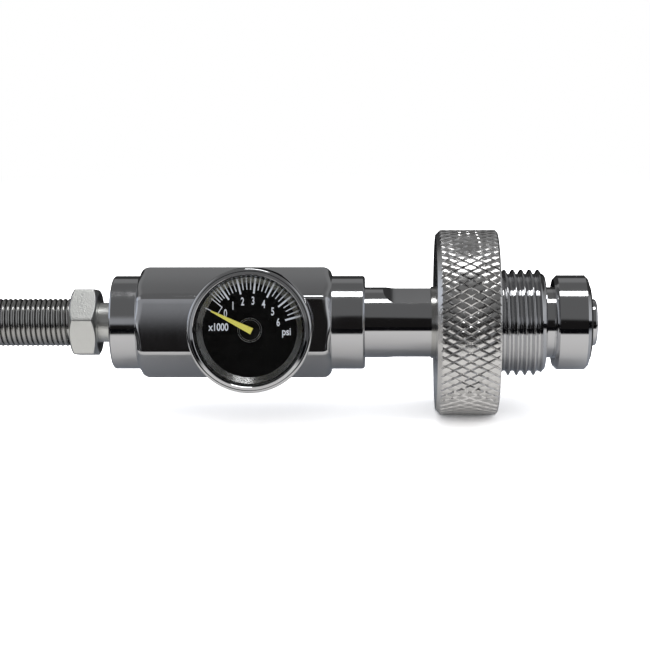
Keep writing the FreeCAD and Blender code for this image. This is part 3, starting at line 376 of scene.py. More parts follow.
# %% Finishes
def new_finish(name, colour, metallic, roughness, spread=0.05, patch=900.0, grain=9000.0,
               depth=0.0006, stretch=(1, 1, 1), tone=0.0, shine=0.5):
    """A material with a base colour, patchy roughness and a fine grain; depth is in millimetres."""
    material = bpy.data.materials.new(name)
    material.use_nodes = True
    tree = material.node_tree
    shader = tree.nodes["Principled BSDF"]
    shader.inputs["Base Color"].default_value = (*colour, 1)
    shader.inputs["Metallic"].default_value = metallic
    shader.inputs["Specular IOR Level"].default_value = shine
    scaled = tree.nodes.new("ShaderNodeMapping")
    scaled.inputs["Scale"].default_value = stretch
    feed(tree, scaled.inputs[0], tree.nodes.new("ShaderNodeTexCoord").outputs["Object"])
    patches = noise(tree, scaled.outputs[0], patch, 3.0)
    shift = tree.nodes.new("ShaderNodeMapRange")
    shift.inputs["To Min"].default_value = max(roughness - spread, 0.02)
    shift.inputs["To Max"].default_value = roughness + spread
    feed(tree, shift.inputs["Value"], patches)
    feed(tree, shader.inputs["Roughness"], shift.outputs[0])
    if tone:
        shade = ramp(tree, patches, [(0.3, 1 - tone), (0.7, 1.0)])
        feed(tree, shader.inputs["Base Color"], mixed(tree, 1.0, (*colour, 1), shade, "MULTIPLY"))
    bump = tree.nodes.new("ShaderNodeBump")
    bump.inputs["Strength"].default_value = 1.0
    bump.inputs["Distance"].default_value = depth * MM
    feed(tree, bump.inputs["Height"], noise(tree, scaled.outputs[0], grain, 2.0))
    feed(tree, shader.inputs["Normal"], bump.outputs[0])
    return material


def noise(tree, place, scale, detail):
    """One noise texture."""
    node = tree.nodes.new("ShaderNodeTexNoise")
    node.inputs["Scale"].default_value = scale
    node.inputs["Detail"].default_value = detail
    feed(tree, node.inputs["Vector"], place)
    return node.outputs["Fac"]


def new_glass(name, tint, rough, bend):
    """Clear glass that lets the light of lamps and matt surfaces straight through."""
    material = bpy.data.materials.new(name)
    material.use_nodes = True
    tree = material.node_tree
    glass = tree.nodes["Principled BSDF"]
    glass.inputs["Base Color"].default_value = (*tint, 1)
    glass.inputs["Roughness"].default_value = rough
    glass.inputs["Transmission Weight"].default_value = 1.0
    glass.inputs["IOR"].default_value = bend
    rays = tree.nodes.new("ShaderNodeLightPath").outputs
    passing = maths(tree, "MAXIMUM", rays["Is Shadow Ray"], rays["Is Diffuse Ray"])
    clear = tree.nodes.new("ShaderNodeBsdfTransparent").outputs[0]
    surface = tree.nodes["Material Output"].inputs["Surface"]
    feed(tree, surface, either(tree, passing, glass.outputs[0], clear))
    return material


ROUND_X = (1.0, 0.12, 0.12)
PLATED = (0.61, 0.615, 0.63)
ENAMEL = (0.004, 0.004, 0.004)
finish = {
    "chrome": new_finish("polished_chrome", PLATED, 1, 0.07, 0.03, 500, 2500, 0.0008, ROUND_X),
    "brushed": new_finish("brushed_chrome", PLATED, 1, 0.09, 0.04, 500, 2200, 0.003, ROUND_X),
    "knurl": new_finish("worn_knurl_chrome", (0.78, 0.775, 0.77), 1, 0.22, 0.07, 1100, 2800, 0.022),
    "zinc_steel": new_finish("zinc_plated_steel", (0.77, 0.78, 0.76), 1, 0.36, 0.08, 1400, 2600, 0.035),
    "spring_steel": new_finish("oiled_spring_steel", (0.47, 0.47, 0.46), 1, 0.2, 0.06, 800, 3000, 0.006),
    "satin_ring": new_finish("satin_ring", (0.55, 0.56, 0.56), 1, 0.28, 0.05, 1200, 6000, 0.001),
    "brass": new_finish("turned_brass", (0.75, 0.55, 0.26), 1, 0.25, 0.06, 700, 3000, 0.002, tone=0.2),
    "bronze": new_finish("sintered_bronze", (0.52, 0.36, 0.2), 1, 0.5, 0.1, 2500, 4000, 0.03, tone=0.4),
    "copper": new_finish("annealed_copper", (0.75, 0.4, 0.26), 1, 0.32, 0.08, 700, 3000, 0.003, tone=0.2),
    "rubber": new_finish("black_rubber", (0.018, 0.018, 0.018), 0, 0.5, 0.1, 900, 5000, 0.004),
    "hose_black": new_finish("black_hose_jacket", (0.022, 0.022, 0.023), 0, 0.38, 0.08, 600, 3500, 0.008),
    "dial_black": new_finish("dial_enamel", ENAMEL, 0, 0.6, 0.1, 1500, 5200, 0.01, shine=0.1),
    "bush_black": new_finish("bush_enamel", ENAMEL, 0, 0.3, 0.06, 1500, 5200, 0.002, shine=0.3),
    "pointer_yellow": new_finish("pointer_enamel", (0.92, 0.86, 0.16), 0, 0.42, 0.06, 1500, 6000, 0.001),
    "lens": new_glass("clear_lens", (0.97, 0.98, 0.98), 0.01, 1.33),
    "step": new_glass("moulded_step", (0.97, 0.97, 0.955), 0.2, 1.9),
    "print_white": new_finish("printing_ink", (0.88, 0.92, 1.0), 0, 0.5, 0.05, 1500, 6000, 0.001),
}
SLOT_OF = {part["node"]: part["material_slot"] for part in frame["record"]["subparts"]}
for node_name, node in frame["nodes"].items():
    for slot in node.material_slots:
        slot.material = finish[SLOT_OF[node_name]]
print(len(finish), "finishes on", len(frame["nodes"]), "nodes")

# %% [markdown]
# Turned parts are made by spinning a half outline round an axis, as a lathe does. A Screw
# modifier could do that too, but points worked out in Python keep every radius readable. Two
# places serve: one looks along the connector, the other along the gauge, whose axis and centre
# come from the construction's own hinge. `reach` reads a node's sizes from the construction, so
# that the dressed pieces follow it. `dress` gives a finished piece its material, the body it
# rides on and the nodes it stands for.

# %% Turning helpers
HINGE = next(joint for joint in frame["joints"] if joint["name"] == "pointer_turn")
GAUGE_AXIS = Vector(HINGE["axis"])
GAUGE_UP = GAUGE_AXIS.cross(Vector((1, 0, 0)))
AXIS_PLACE = Matrix(((0, 0, 1, 0), (-1, 0, 0, 0), (0, -1, 0, 0), (0, 0, 0, 1)))
GAUGE_PLACE = Matrix((Vector((1, 0, 0)), GAUGE_UP, GAUGE_AXIS)).transposed().to_4x4()
GAUGE_PLACE.translation = Vector((HINGE["pos_m"][0], 0, 0))
TURNING_STEPS = 160
MERGE = 0.0005 * MM


def reach(node, place=AXIS_PLACE):
    """The node's start and end along the place's z axis, and its least and largest radius there."""
    back = place.inverted()
    corners = [back @ vertex.co for vertex in frame["nodes"][node].data.vertices]
    along = [corner.z for corner in corners]
    radii = [math.hypot(corner.x, corner.y) for corner in corners]
    return min(along), max(along), min(radii), max(radii)


def arc(centre, radius, first, last, steps):
    """Points on an arc in a half outline; the angles are in degrees from the axis."""
    points = []
    for k in range(steps + 1):
        turn = math.radians(first + (last - first) * k / steps)
        points.append((centre[0] + radius * math.cos(turn), centre[1] + radius * math.sin(turn)))
    return points


def new_piece(name, corners, faces, place=AXIS_PLACE, smooth=30.0):
    """A mesh object at that place; edges sharper than the smooth angle stay crisp."""
    mesh = bpy.data.meshes.new(name)
    mesh.from_pydata([tuple(place @ Vector(corner)) for corner in corners], [], faces)
    piece = bpy.data.objects.new(name, mesh)
    scene.collection.objects.link(piece)
    clean(piece, smooth)
    return piece


def clean(piece, smooth=30.0):
    """Joins doubled points, drops empty faces and turns every face outwards."""
    work = bmesh.new()
    work.from_mesh(piece.data)
    bmesh.ops.remove_doubles(work, verts=work.verts, dist=MERGE)
    bmesh.ops.dissolve_degenerate(work, edges=work.edges, dist=MERGE)
    bmesh.ops.recalc_face_normals(work, faces=work.faces)
    work.to_mesh(piece.data)
    work.free()
    for polygon in piece.data.polygons:
        polygon.use_smooth = True
    piece.data.set_sharp_from_angle(angle=math.radians(smooth))


def spun(columns):
    """Corners and faces between neighbouring columns of points, the last joined to the first."""
    corners = [corner for column in columns for corner in column]
    faces = []
    count = len(columns[0])
    for k in range(len(columns)):
        here, there = k * count, ((k + 1) % len(columns)) * count
        for j in range(count):
            after = (j + 1) % count
            faces.append((here + j, here + after, there + after, there + j))
    return corners, faces


def column_at(x, y, outline):
    """The outline's (along, radius) pairs as points, on the side where x, y points to."""
    return [(radius * x, radius * y, along) for along, radius in outline]


def turned(name, outline, place=AXIS_PLACE, smooth=30.0):
    """Spins a closed outline of (along, radius) pairs."""
    turns = [2 * math.pi * k / TURNING_STEPS for k in range(TURNING_STEPS)]
    columns = [column_at(math.cos(turn), math.sin(turn), outline) for turn in turns]
    return new_piece(name, *spun(columns), place, smooth)


def soften(piece, width):
    """Breaks the piece's sharp edges, as plating does."""
    edge = piece.modifiers.new("soft_edges", "BEVEL")
    edge.width = width
    edge.segments = 2
    edge.limit_method = "ANGLE"
    edge.angle_limit = math.radians(35.0)
    edge.use_clamp_overlap = True
    edge.harden_normals = True
    return piece


def dress(piece, slot, body, *nodes):
    """Gives a piece its finish, its body and the nodes that it stands for."""
    piece.data.materials.clear()
    piece.data.materials.append(finish[slot])
    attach(piece, body)
    if nodes:
        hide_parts(*nodes)
    return piece


# %% [markdown]
# The handwheel's grip has a diamond knurl: blunt pyramids between two families of V grooves that
# wind round it both ways. A bump map could draw them, but the knurl shows at the wheel's outline
# and catches the lamp on every facet, so it is cut for real. Each diamond is one small pyramid
# with a slightly domed top, and every second row is shifted by half a diamond. The knurled
# cylinder is then cut to the wheel's turned outline, whose chamfers trim the outer rows as they
# do on a real wheel.

# %% Knurled grip
KNURL_ROUND = 64
KNURL_LONG = 3.4 * MM
KNURL_DEEP = 0.38 * MM
KNURL_TOP = 0.68
KNURL_DOME = 0.08 * MM
KNURL_FADE = 0.85
KNURL_LEVELS = ((-1, 1), (-KNURL_TOP, 0), (0, 0), (KNURL_TOP, 0), (1, 1))
WHEEL_START, THREAD_END, WHEEL_BORE, WHEEL_RADIUS = reach("handwheel")
WHEEL_EDGE = 1.0 * MM
WHEEL_FRONT_EDGE = 0.45 * MM


def knurl_diamond(middle, turn):
    """The corners of one pyramid; middle is its place along the axis and turn its angle.

    The grooves of one family fade towards the wheel's front, those of the other towards its back."""
    corners = []
    for u, u_groove in KNURL_LEVELS:
        for v, v_groove in KNURL_LEVELS:
            along = middle + (u - v) / 4 * KNURL_LONG
            angle = turn + (u + v) / 2 * math.pi / KNURL_ROUND
            share = min(max(1 - along / WHEEL_START, 0), 1)
            deep = max(u_groove * (1 - KNURL_FADE * share), v_groove * (1 - KNURL_FADE * (1 - share)))
            r = WHEEL_RADIUS - KNURL_DOME * (abs(u) + abs(v)) / 2 - KNURL_DEEP * deep
            corners.append((r * math.cos(angle), r * math.sin(angle), along))
    return corners


def knurled_bar(name):
    """A knurled cylinder, a little longer than the wheel's disc."""
    side = len(KNURL_LEVELS)
    corners, faces = [], []
    for row in range(math.ceil(-WHEEL_START / (KNURL_LONG / 2)) + 5):
        for column in range(KNURL_ROUND):
            first = len(corners)
            turn = (2 * column + row % 2) * math.pi / KNURL_ROUND
            corners += knurl_diamond(WHEEL_START + (row - 2) * KNURL_LONG / 2, turn)
            for k in (first + i * side + j for i in range(side - 1) for j in range(side - 1)):
                faces.append((k, k + side, k + side + 1, k + 1))
    piece = new_piece(name, corners, faces)
    work = bmesh.new()
    work.from_mesh(piece.data)
    bmesh.ops.remove_doubles(work, verts=work.verts, dist=2 * MERGE)
    bmesh.ops.holes_fill(work, edges=[edge for edge in work.edges if edge.is_boundary])
    bmesh.ops.recalc_face_normals(work, faces=work.faces)
    work.to_mesh(piece.data)
    work.free()
    return piece


def final_mesh(piece):
    """The piece's mesh as its modifiers or its curve make it."""
    return bpy.data.meshes.new_from_object(piece.evaluated_get(bpy.context.evaluated_depsgraph_get()))


def cut_to(piece, cutter, operation="INTERSECT"):
    """Applies a boolean with the cutter, and takes the cutter away."""
    step = piece.modifiers.new("cut", "BOOLEAN")
    step.operation = operation
    step.object = cutter
    step.solver = "EXACT"
    done = final_mesh(piece)
    piece.modifiers.clear()
    piece.data = done
    bpy.data.objects.remove(cutter)
    clean(piece)
    return piece


def build_grip():
    """The wheel's knurled disc."""
    outline = [
        (WHEEL_START, WHEEL_BORE),
        (WHEEL_START, WHEEL_RADIUS - WHEEL_EDGE),
        (WHEEL_START + WHEEL_EDGE, WHEEL_RADIUS),
        (-WHEEL_FRONT_EDGE, WHEEL_RADIUS),
        (0, WHEEL_RADIUS - WHEEL_FRONT_EDGE),
        (0, WHEEL_BORE),
    ]
    grip = cut_to(knurled_bar("knurled_grip"), turned("grip_outline", outline))
    return dress(grip, "knurl", "wheel", "handwheel")


print("knurl has", len(build_grip().data.polygons), "faces")

# %% [markdown]
# A thread is a groove wound round a cylinder. It could be cut by a boolean with a coiled cutter,
# which is slow and often leaves stray faces. Here each column of the mesh runs along the axis,
# and the thread's profile is shifted along it by one pitch per turn, so the crests climb as a
# right-handed helix. The thread is held inside an envelope that starts at the root and ends in
# the lead-in chamfer, which makes the first and last turns run out.

# %% Cylinder thread
CYLINDER_THREAD = (1.814 * MM, 11.455 * MM, 10.5 * MM)
THREAD_PHASE = -0.6 * MM
THREAD_LEAD = 1.3 * MM
THREAD_RUNOUT = 0.7 * MM
THREAD_STEPS = 96
FLANK_UP = ((0.0, 0.0), (0.09, 0.0), (0.17, 0.12), (0.39, 0.9), (0.46, 1.0))
THREAD_PROFILE = FLANK_UP + tuple((round(1 - share, 2), height) for share, height in FLANK_UP[:0:-1])


def thread_column(turned_by, start, end, sizes, lead, runout):
    """The (along, radius) pairs of the thread on one side of it; turned_by is a share of a turn."""
    pitch, crest, root = sizes
    last = crest - lead
    column = []
    for winding in range(-1, math.ceil((end - start) / pitch) + 1):
        for share, height in THREAD_PROFILE:
            along = start + THREAD_PHASE + pitch * (winding + share + turned_by)
            radius = root + height * (crest - root)
            if along <= start:
                along, radius = start, root
            elif along >= end:
                along, radius = end, last
            radius = min(radius, root + (along - start) / runout * (crest - root), last + end - along)
            column.append((along, radius))
    return column


def threaded(name, start, end, sizes, bore, lead, runout, place=AXIS_PLACE, steps=THREAD_STEPS):
    """A right-handed thread on a tube; sizes is (pitch, crest, root)."""
    crest, root = sizes[1:]
    inner = [(start, root), (start, bore), (end, bore), (end, crest - lead)]
    outside, inside = [], []
    for step in range(steps + 1):
        turn = 2 * math.pi * step / steps
        helix = thread_column(step / steps, start, end, sizes, lead, runout)
        outside.append(column_at(math.cos(turn), math.sin(turn), helix))
        inside.append(column_at(math.cos(turn), math.sin(turn), inner))
    corners, faces = [], []
    for columns in (outside, inside):
        for left, right in zip(columns, columns[1:]):
            for j in range(len(left) - 1):
                faces.append(tuple(range(len(corners), len(corners) + 4)))
                corners += [left[j], left[j + 1], right[j + 1], right[j]]
    return new_piece(name, corners, faces, place, smooth=40.0)


thread = threaded("cylinder_thread", 0, THREAD_END, CYLINDER_THREAD, WHEEL_BORE, THREAD_LEAD, THREAD_RUNOUT)
dress(thread, "chrome", "wheel", "handwheel")
print("cylinder thread is", round(THREAD_END / MM, 1), "mm long")

# %% [markdown]
# The manifold is turned from a hexagonal bar. Its six long edges are polished round, the polisher
# leaves each flat a little higher in its middle, and the lathe rounds both ends of the hexagon.
# An extruded hexagon with a Bevel modifier would round those ends along each flat instead. Here
# each column of the mesh follows one point of the rounded hexagon, so the shoulders meet the
# flats in true curves, as they do on a lathe.

# %% Manifold
HEX_FLATS = 21.2 * MM
HEX_ROUND = 1.2 * MM
HEX_SHOULDER = 2.0 * MM
HEX_CROWN = 0.05 * MM
FRONT_COLLAR = 7.1 * MM
REAR_COLLAR = 5.7 * MM
COLLAR_EDGE = 0.4 * MM
COLLAR = 10.1 * MM
GAS_WAY = 1.5 * MM
HOSE_PORT, HOSE_PORT_DEEP = 4.915 * MM, 9.0 * MM
SEAL_SEAT, SEAL_SEAT_DEEP = 7.2 * MM, 1.5 * MM
STEM_PORT, STEM_PORT_DEEP = 6.6 * MM, 12.3 * MM
PLATED_EDGE = 0.12 * MM
FLAT_STEPS = 12
GAUGE_RISE = math.asin(GAUGE_AXIS.z)


def rounded_hexagon(flats, rounding, turned_by, crown=0.0, arc_steps=8):
    """Points of a hexagon with round corners; turned_by is the direction of one flat.

    The crown is how much the polisher leaves each flat higher in its middle."""
    middle = (flats / 2 - rounding) / math.cos(math.radians(30))
    corners = []
    for k in range(6):
        towards = turned_by + math.radians(30 + 60 * k)
        centre = Vector((math.cos(towards), math.sin(towards))) * middle
        corner = []
        for j in range(arc_steps + 1):
            angle = towards + math.radians(60 * j / arc_steps - 30)
            corner.append(centre + Vector((math.cos(angle), math.sin(angle))) * rounding)
        corners.append(corner)
    points = []
    for k in range(6):
        points += corners[k]
        first, last = corners[k][-1], corners[(k + 1) % 6][0]
        out = (first + last).normalized()
        for j in range(1, FLAT_STEPS):
            share = j / FLAT_STEPS
            points.append(first.lerp(last, share) + out * crown * 4 * share * (1 - share))
    return points


def shoulder_arc(end, inward, low, high):
    """An arc that climbs from the low radius at the end and runs flush into the high one."""
    climb = math.degrees(math.acos(1 - (high - low) / HEX_SHOULDER))
    points = arc((0, high - HEX_SHOULDER), HEX_SHOULDER, 90 + climb, 90, 6)
    depth = -points[0][0]
    return [(end + inward * (depth + along), radius) for along, radius in points]


def along_hexagon(name, hexagon, outline_at, place=AXIS_PLACE, smooth=30.0):
    """A hexagonal piece; outline_at gives the half outline for one corner distance."""
    columns = []
    for point in hexagon:
        out = point.normalized()
        columns.append(column_at(out.x, out.y, outline_at(point.length)))
    return new_piece(name, *spun(columns), place, smooth)


def manifold_outline(out):
    """Bores, collars and one side of the hexagon, which reaches out this far."""
    rear, front, _, _ = reach("manifold")
    return [
        (rear + HOSE_PORT_DEEP, GAS_WAY),
        (rear + HOSE_PORT_DEEP, HOSE_PORT),
        (rear, HOSE_PORT),
        (rear, COLLAR - COLLAR_EDGE),
        (rear + COLLAR_EDGE, COLLAR),
        *shoulder_arc(rear + REAR_COLLAR, 1, COLLAR, out),
        *reversed(shoulder_arc(front - FRONT_COLLAR, -1, COLLAR, out)),
        (front - COLLAR_EDGE, COLLAR),
        (front, COLLAR - COLLAR_EDGE),
        (front, SEAL_SEAT),
        (front - SEAL_SEAT_DEEP, SEAL_SEAT),
        (front - SEAL_SEAT_DEEP, STEM_PORT),
        (front - STEM_PORT_DEEP, STEM_PORT),
        (front - STEM_PORT_DEEP, GAS_WAY),
    ]


bar = rounded_hexagon(HEX_FLATS - HEX_CROWN, HEX_ROUND, -GAUGE_RISE, HEX_CROWN)
manifold = along_hexagon("manifold_body", bar, manifold_outline, smooth=25.0)
dress(soften(manifold, PLATED_EDGE), "brushed", "adapter", "manifold")
print("manifold is", round(max(point.length for point in bar) * 2 / MM, 1), "mm over its corners")

# %% [markdown]
# The stem and the nose are turned from one bar. Two wrench flats are milled on the stem with a
# cutter whose corner is round, which leaves a hollow at the manifold's end of each flat. They are
# cut by booleans here, the way the mill cuts them, since a spun outline can't hold a flat. The
# ring in the nose's face seals against the valve, and the slotted plug holds the filter.

# %% Stem and nose
FLATS_APART = 12.5 * MM
FLATS_START = 6.7 * MM
FLATS_CUTTER = 3.6 * MM
FLATS_END = 0.9 * MM
FLATS_TURN = math.radians(71.0)
STEM_RADIUS = WHEEL_BORE - 0.06 * MM
SPIGOT_RADIUS, SPIGOT_EDGE = 6.55 * MM, 0.35 * MM
NOSE_LONG = 7.4 * MM
NOSE_BACK_EDGE = 0.8 * MM
NOSE_FRONT_EDGE = 0.7 * MM
PLUG_HOLE, PLUG_DEEP = 5.1 * MM, 5.9 * MM
SEAL_IN, SEAL_OUT = 5.9 * MM, 8.3 * MM
SEAL_DEEP, SEAL_PROUD, SEAL_EDGE = 1.2 * MM, 0.5 * MM, 0.3 * MM
SNAP_PROUD, SNAP_TAPER = 0.12 * MM, 0.06 * MM


def flat_cutter(side, start, end):
    """A prism that cuts one flat; side is the direction of the flat's normal."""
    half, above = FLATS_APART / 2, FLATS_APART / 2 + FLATS_CUTTER
    outline = arc((start, above), FLATS_CUTTER, 180, 270, 10)
    outline += [(end, half), (end, above)]
    count = len(outline)
    out = Vector((math.cos(side), math.sin(side), 0))
    across = Vector((-out.y, out.x, 0)) * above
    corners = []
    for shift in (-across, across):
        corners += [out * height + shift + Vector((0, 0, along)) for along, height in outline]
    faces = [tuple(range(count)), tuple(range(2 * count - 1, count - 1, -1))]
    faces += [(k, (k + 1) % count, count + (k + 1) % count, count + k) for k in range(count)]
    return new_piece("flat_cutter", corners, faces)


def build_stem():
    """Spigot, stem and nose in one, with both flats milled."""
    start, end, _, nose = reach("connector_stem")
    front = reach("manifold")[1]
    nose_back, plug_seat = end - NOSE_LONG, end - PLUG_DEEP
    outline = [
        (start, GAS_WAY),
        (start, SPIGOT_RADIUS - SPIGOT_EDGE),
        (start + SPIGOT_EDGE, SPIGOT_RADIUS),
        (front, SPIGOT_RADIUS),
        (front, STEM_RADIUS),
        (nose_back, STEM_RADIUS),
        (nose_back, nose - NOSE_BACK_EDGE),
        (nose_back + NOSE_BACK_EDGE, nose),
        (end - NOSE_FRONT_EDGE, nose),
        (end, nose - NOSE_FRONT_EDGE),
        (end, SEAL_OUT),
        (end - SEAL_DEEP, SEAL_OUT),
        (end - SEAL_DEEP, SEAL_IN),
        (end, SEAL_IN),
        (end, PLUG_HOLE),
        (plug_seat, PLUG_HOLE),
        (plug_seat, GAS_WAY),
    ]
    piece = turned("stem_and_nose", outline)
    for side in (-GAUGE_RISE - FLATS_TURN, math.pi - GAUGE_RISE - FLATS_TURN):
        cut_to(piece, flat_cutter(side, front + FLATS_START, WHEEL_START - FLATS_END), "DIFFERENCE")
    return dress(soften(piece, PLATED_EDGE), "chrome", "adapter", "connector_stem")


def build_face_seal():
    """The rubber ring in the nose's face, a little proud of it."""
    end = reach("connector_stem")[1]
    top = end + SEAL_PROUD - SEAL_EDGE
    outline = [(end - SEAL_DEEP, SEAL_IN), (end - SEAL_DEEP, SEAL_OUT)]
    outline += arc((top, SEAL_OUT - SEAL_EDGE), SEAL_EDGE, 90, 0, 5)
    outline += arc((top, SEAL_IN + SEAL_EDGE), SEAL_EDGE, 0, -90, 5)
    return dress(turned("face_seal", outline), "rubber", "adapter", "nose_face_ring")


def build_snap_ring():
    """The ring that keeps the wheel on the stem; only its rim shows."""
    start, end, inner, _ = reach("stem_snap_ring")
    outer = STEM_RADIUS + SNAP_PROUD
    outline = [(start, inner), (start, outer), (end, outer + SNAP_TAPER), (end, inner)]
    return dress(turned("snap_ring", outline), "spring_steel", "adapter", "stem_snap_ring")


def build_plug():
    """The filter's plug, turned so that its slot stands upright."""
    piece = bpy.data.objects.new("filter_plug", frame["nodes"]["filter_retainer"].data.copy())
    scene.collection.objects.link(piece)
    piece.data.transform(Matrix.Rotation(math.pi / 2, 4, "X"))
    return dress(piece, "chrome", "adapter", "filter_retainer")


for build in (build_stem, build_snap_ring, build_plug, build_face_seal):
    print("made", build().name)

# %% [markdown]
# Each end of the hose has a threaded fitting with a small zinc-plated hexagon, turned from bar like
# the manifold, so the same column helper makes it. One edge of the near hexagon faces the viewer.
# The far one is the same fitting, moved to where the construction puts the hose's second end,
# and it rests on one of its flats. A copy with shared mesh data would do too, if both hexagons
# were turned alike.

# %% Hose fittings
END_FLATS = 14.0 * MM
END_ROUND = 0.35 * MM
END_FACE = 6.6 * MM
END_HEX_LONG = 5.85 * MM
END_HEX_START = 15.1 * MM
END_BEVEL = math.tan(math.radians(30))
END_THREAD = (0.907 * MM, 4.865 * MM, 4.28 * MM)
END_THREAD_EDGE = 0.5 * MM
END_EDGE = 0.1 * MM
NIPPLE, SHANK, SHANK_LONG = 1.0 * MM, 2.5 * MM, 2.2 * MM
NEAR_FLAT = math.radians(-49.0)
FAR_FLAT = math.radians(-90.0)


def middle_of(node):
    """The middle of the node's box."""
    low, high = (Vector(corner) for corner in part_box(node))
    return (low + high) / 2


def moved(node, first):
    """The axis place, shifted by the way from the first node to this one."""
    return Matrix.Translation(middle_of(node) - middle_of(first)) @ AXIS_PLACE


def fitting_outline(out):
    """Nipple, shank, neck and one side of the hexagon, which reaches out this far."""
    start, _, bore, _ = reach("hose_fitting")
    hex_rear = start + END_HEX_START
    hex_front = hex_rear + END_HEX_LONG
    bevel = (out - END_FACE) * END_BEVEL
    neck, neck_end = END_THREAD[2], reach("manifold")[0] + END_THREAD_EDGE
    return [
        (start, bore),
        (start, NIPPLE),
        (hex_rear - SHANK_LONG, NIPPLE),
        (hex_rear - SHANK_LONG, SHANK),
        (hex_rear, SHANK),
        (hex_rear, END_FACE),
        (hex_rear + bevel, out),
        (hex_front - bevel, out),
        (hex_front, END_FACE),
        (hex_front, neck),
        (neck_end, neck),
        (neck_end, bore),
    ]


def build_fitting(name, node, flat):
    """The turned body and the thread of one fitting; flat is the direction of a flat."""
    place = moved(node, "hose_fitting")
    _, tip, bore, _ = reach("hose_fitting")
    hexagon = rounded_hexagon(END_FLATS, END_ROUND, flat, arc_steps=4)
    body = soften(along_hexagon(name, hexagon, fitting_outline, place), END_EDGE)
    edge = END_THREAD_EDGE
    start = reach("manifold")[0] + edge
    thread = threaded(name + "_thread", start, tip, END_THREAD, bore, edge, edge, place, THREAD_STEPS // 2)
    return [dress(piece, "zinc_steel", "adapter", node) for piece in (body, thread)]


near_fitting = build_fitting("fitting", "hose_fitting", NEAR_FLAT)
far_fitting = build_fitting("far_fitting", "far_hose_fitting", FAR_FLAT)
print("fittings:", [piece.name for piece in near_fitting + far_fitting])

# %% [markdown]
# A spring guard is one wire, wound close, that keeps the hose from kinking where it leaves the
# crimp. A curve with a round bevel could make it; here the wire's round section is carried along
# a right-handed helix as a mesh, so that its two ends are cut square.

# %% Spring guards
GUARD_WIRE = 1.0 * MM
GUARD_PITCH = 1.09 * MM
GUARD_SPREAD = 0.18 * MM
WIRE_SIDES = 10
WINDING_STEPS = 40


def wound(name, node):
    """The wire of one guard, in the place of its plain sleeve."""
    start, end, _, _ = reach("spring_guard")
    low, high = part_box(node)
    radius = (high[2] - low[2]) / 2 - GUARD_WIRE / 2 + GUARD_SPREAD
    turns = (end - start) / GUARD_PITCH - 1
    rings = round(turns * WINDING_STEPS)
    corners, faces = [], []
    for k in range(rings + 1):
        turn = 2 * math.pi * k / WINDING_STEPS
        along = start + GUARD_WIRE / 2 + (end - start - GUARD_WIRE) * k / rings
        section = arc((along, radius), GUARD_WIRE / 2, 90, 90 - 360, WIRE_SIDES)[:-1]
        corners += column_at(math.cos(turn), math.sin(turn), section)
    for k in range(rings):
        for j in range(WIRE_SIDES):
            after = (j + 1) % WIRE_SIDES
            here, there = k * WIRE_SIDES, (k + 1) * WIRE_SIDES
            faces.append((here + j, here + after, there + after, there + j))
    faces.append(tuple(range(WIRE_SIDES)))
    faces.append(tuple(range(rings * WIRE_SIDES, (rings + 1) * WIRE_SIDES)))
    return new_piece(name, corners, faces, moved(node, "spring_guard"), smooth=50.0)


dress(wound("guard_wire", "spring_guard"), "spring_steel", "adapter", "spring_guard")
far_guard = wound("far_guard_wire", "far_spring_guard")
dress(far_guard, "spring_steel", "adapter", "far_spring_guard")
print("guard wire has", len(far_guard.data.polygons), "faces")

# %% [markdown]
# The gauge is built round its own axis. The bezel is a spun ring with a round outer edge, a fine
# groove and a slanted lip that reaches over the lens. Under the lens lies a moulded step, a clear
# cone down to the dial. A painted ring could stand for it, but clear glass bends what lies behind
# it, as the real step does. A black bush holds the dial in its middle. Its two edges are thin
# bright rings of their own, because a bevel that fine would hardly catch the lamp.

# %% Gauge housing
BEZEL_WALL = 12.12 * MM
BEZEL_ROUND, BEZEL_LIP, BEZEL_SLANT = 0.6 * MM, 0.6 * MM, 0.24 * MM
BEZEL_GROOVE = 12.1 * MM
BEZEL_EDGE = 0.1 * MM
STEP_IN, STEP_OUT, STEP_TALL, STEP_THICK = 9.6 * MM, 10.78 * MM, 1.0 * MM, 0.15 * MM
BUSH_HUB, BUSH_RIM, BUSH_LIP, BUSH_SUNK = 1.8 * MM, 2.5 * MM, 2.1 * MM, 0.25 * MM
BUSH_TOP = 0.05 * MM
DIAL_FACE = reach("gauge_dial", GAUGE_PLACE)[1]


def build_bezel():
    """The chromed ring; the groove runs between its round edge and its slanted lip."""
    low, high, inner, outer = reach("gauge_bezel", GAUGE_PLACE)
    shelf = high - BEZEL_SLANT
    outline = [(low, BEZEL_WALL), (low, outer)]
    outline += arc((shelf - BEZEL_ROUND, outer - BEZEL_ROUND), BEZEL_ROUND, 90, 8, 8)
    outline += [
        (shelf - 0.1 * MM, BEZEL_GROOVE),
        (shelf + 0.05 * MM, BEZEL_GROOVE - 0.1 * MM),
        (high, inner + BEZEL_EDGE),
        (high - BEZEL_EDGE, inner),
        (high - BEZEL_LIP, inner),
        (high - BEZEL_LIP, BEZEL_WALL),
    ]
    return dress(turned("bezel_ring", outline, GAUGE_PLACE), "chrome", "adapter", "gauge_bezel")


def build_lens_step():
    """The moulded step round the lens, a clear cone from the lens down to the dial."""
    high = reach("gauge_lens", GAUGE_PLACE)[0] - 0.02 * MM
    low = high - STEP_TALL
    outline = [(low, STEP_IN), (low - STEP_THICK, STEP_IN), (high - STEP_THICK, STEP_OUT), (high, STEP_OUT)]
    piece = dress(turned("lens_step", outline, GAUGE_PLACE), "step", "adapter")
    return piece


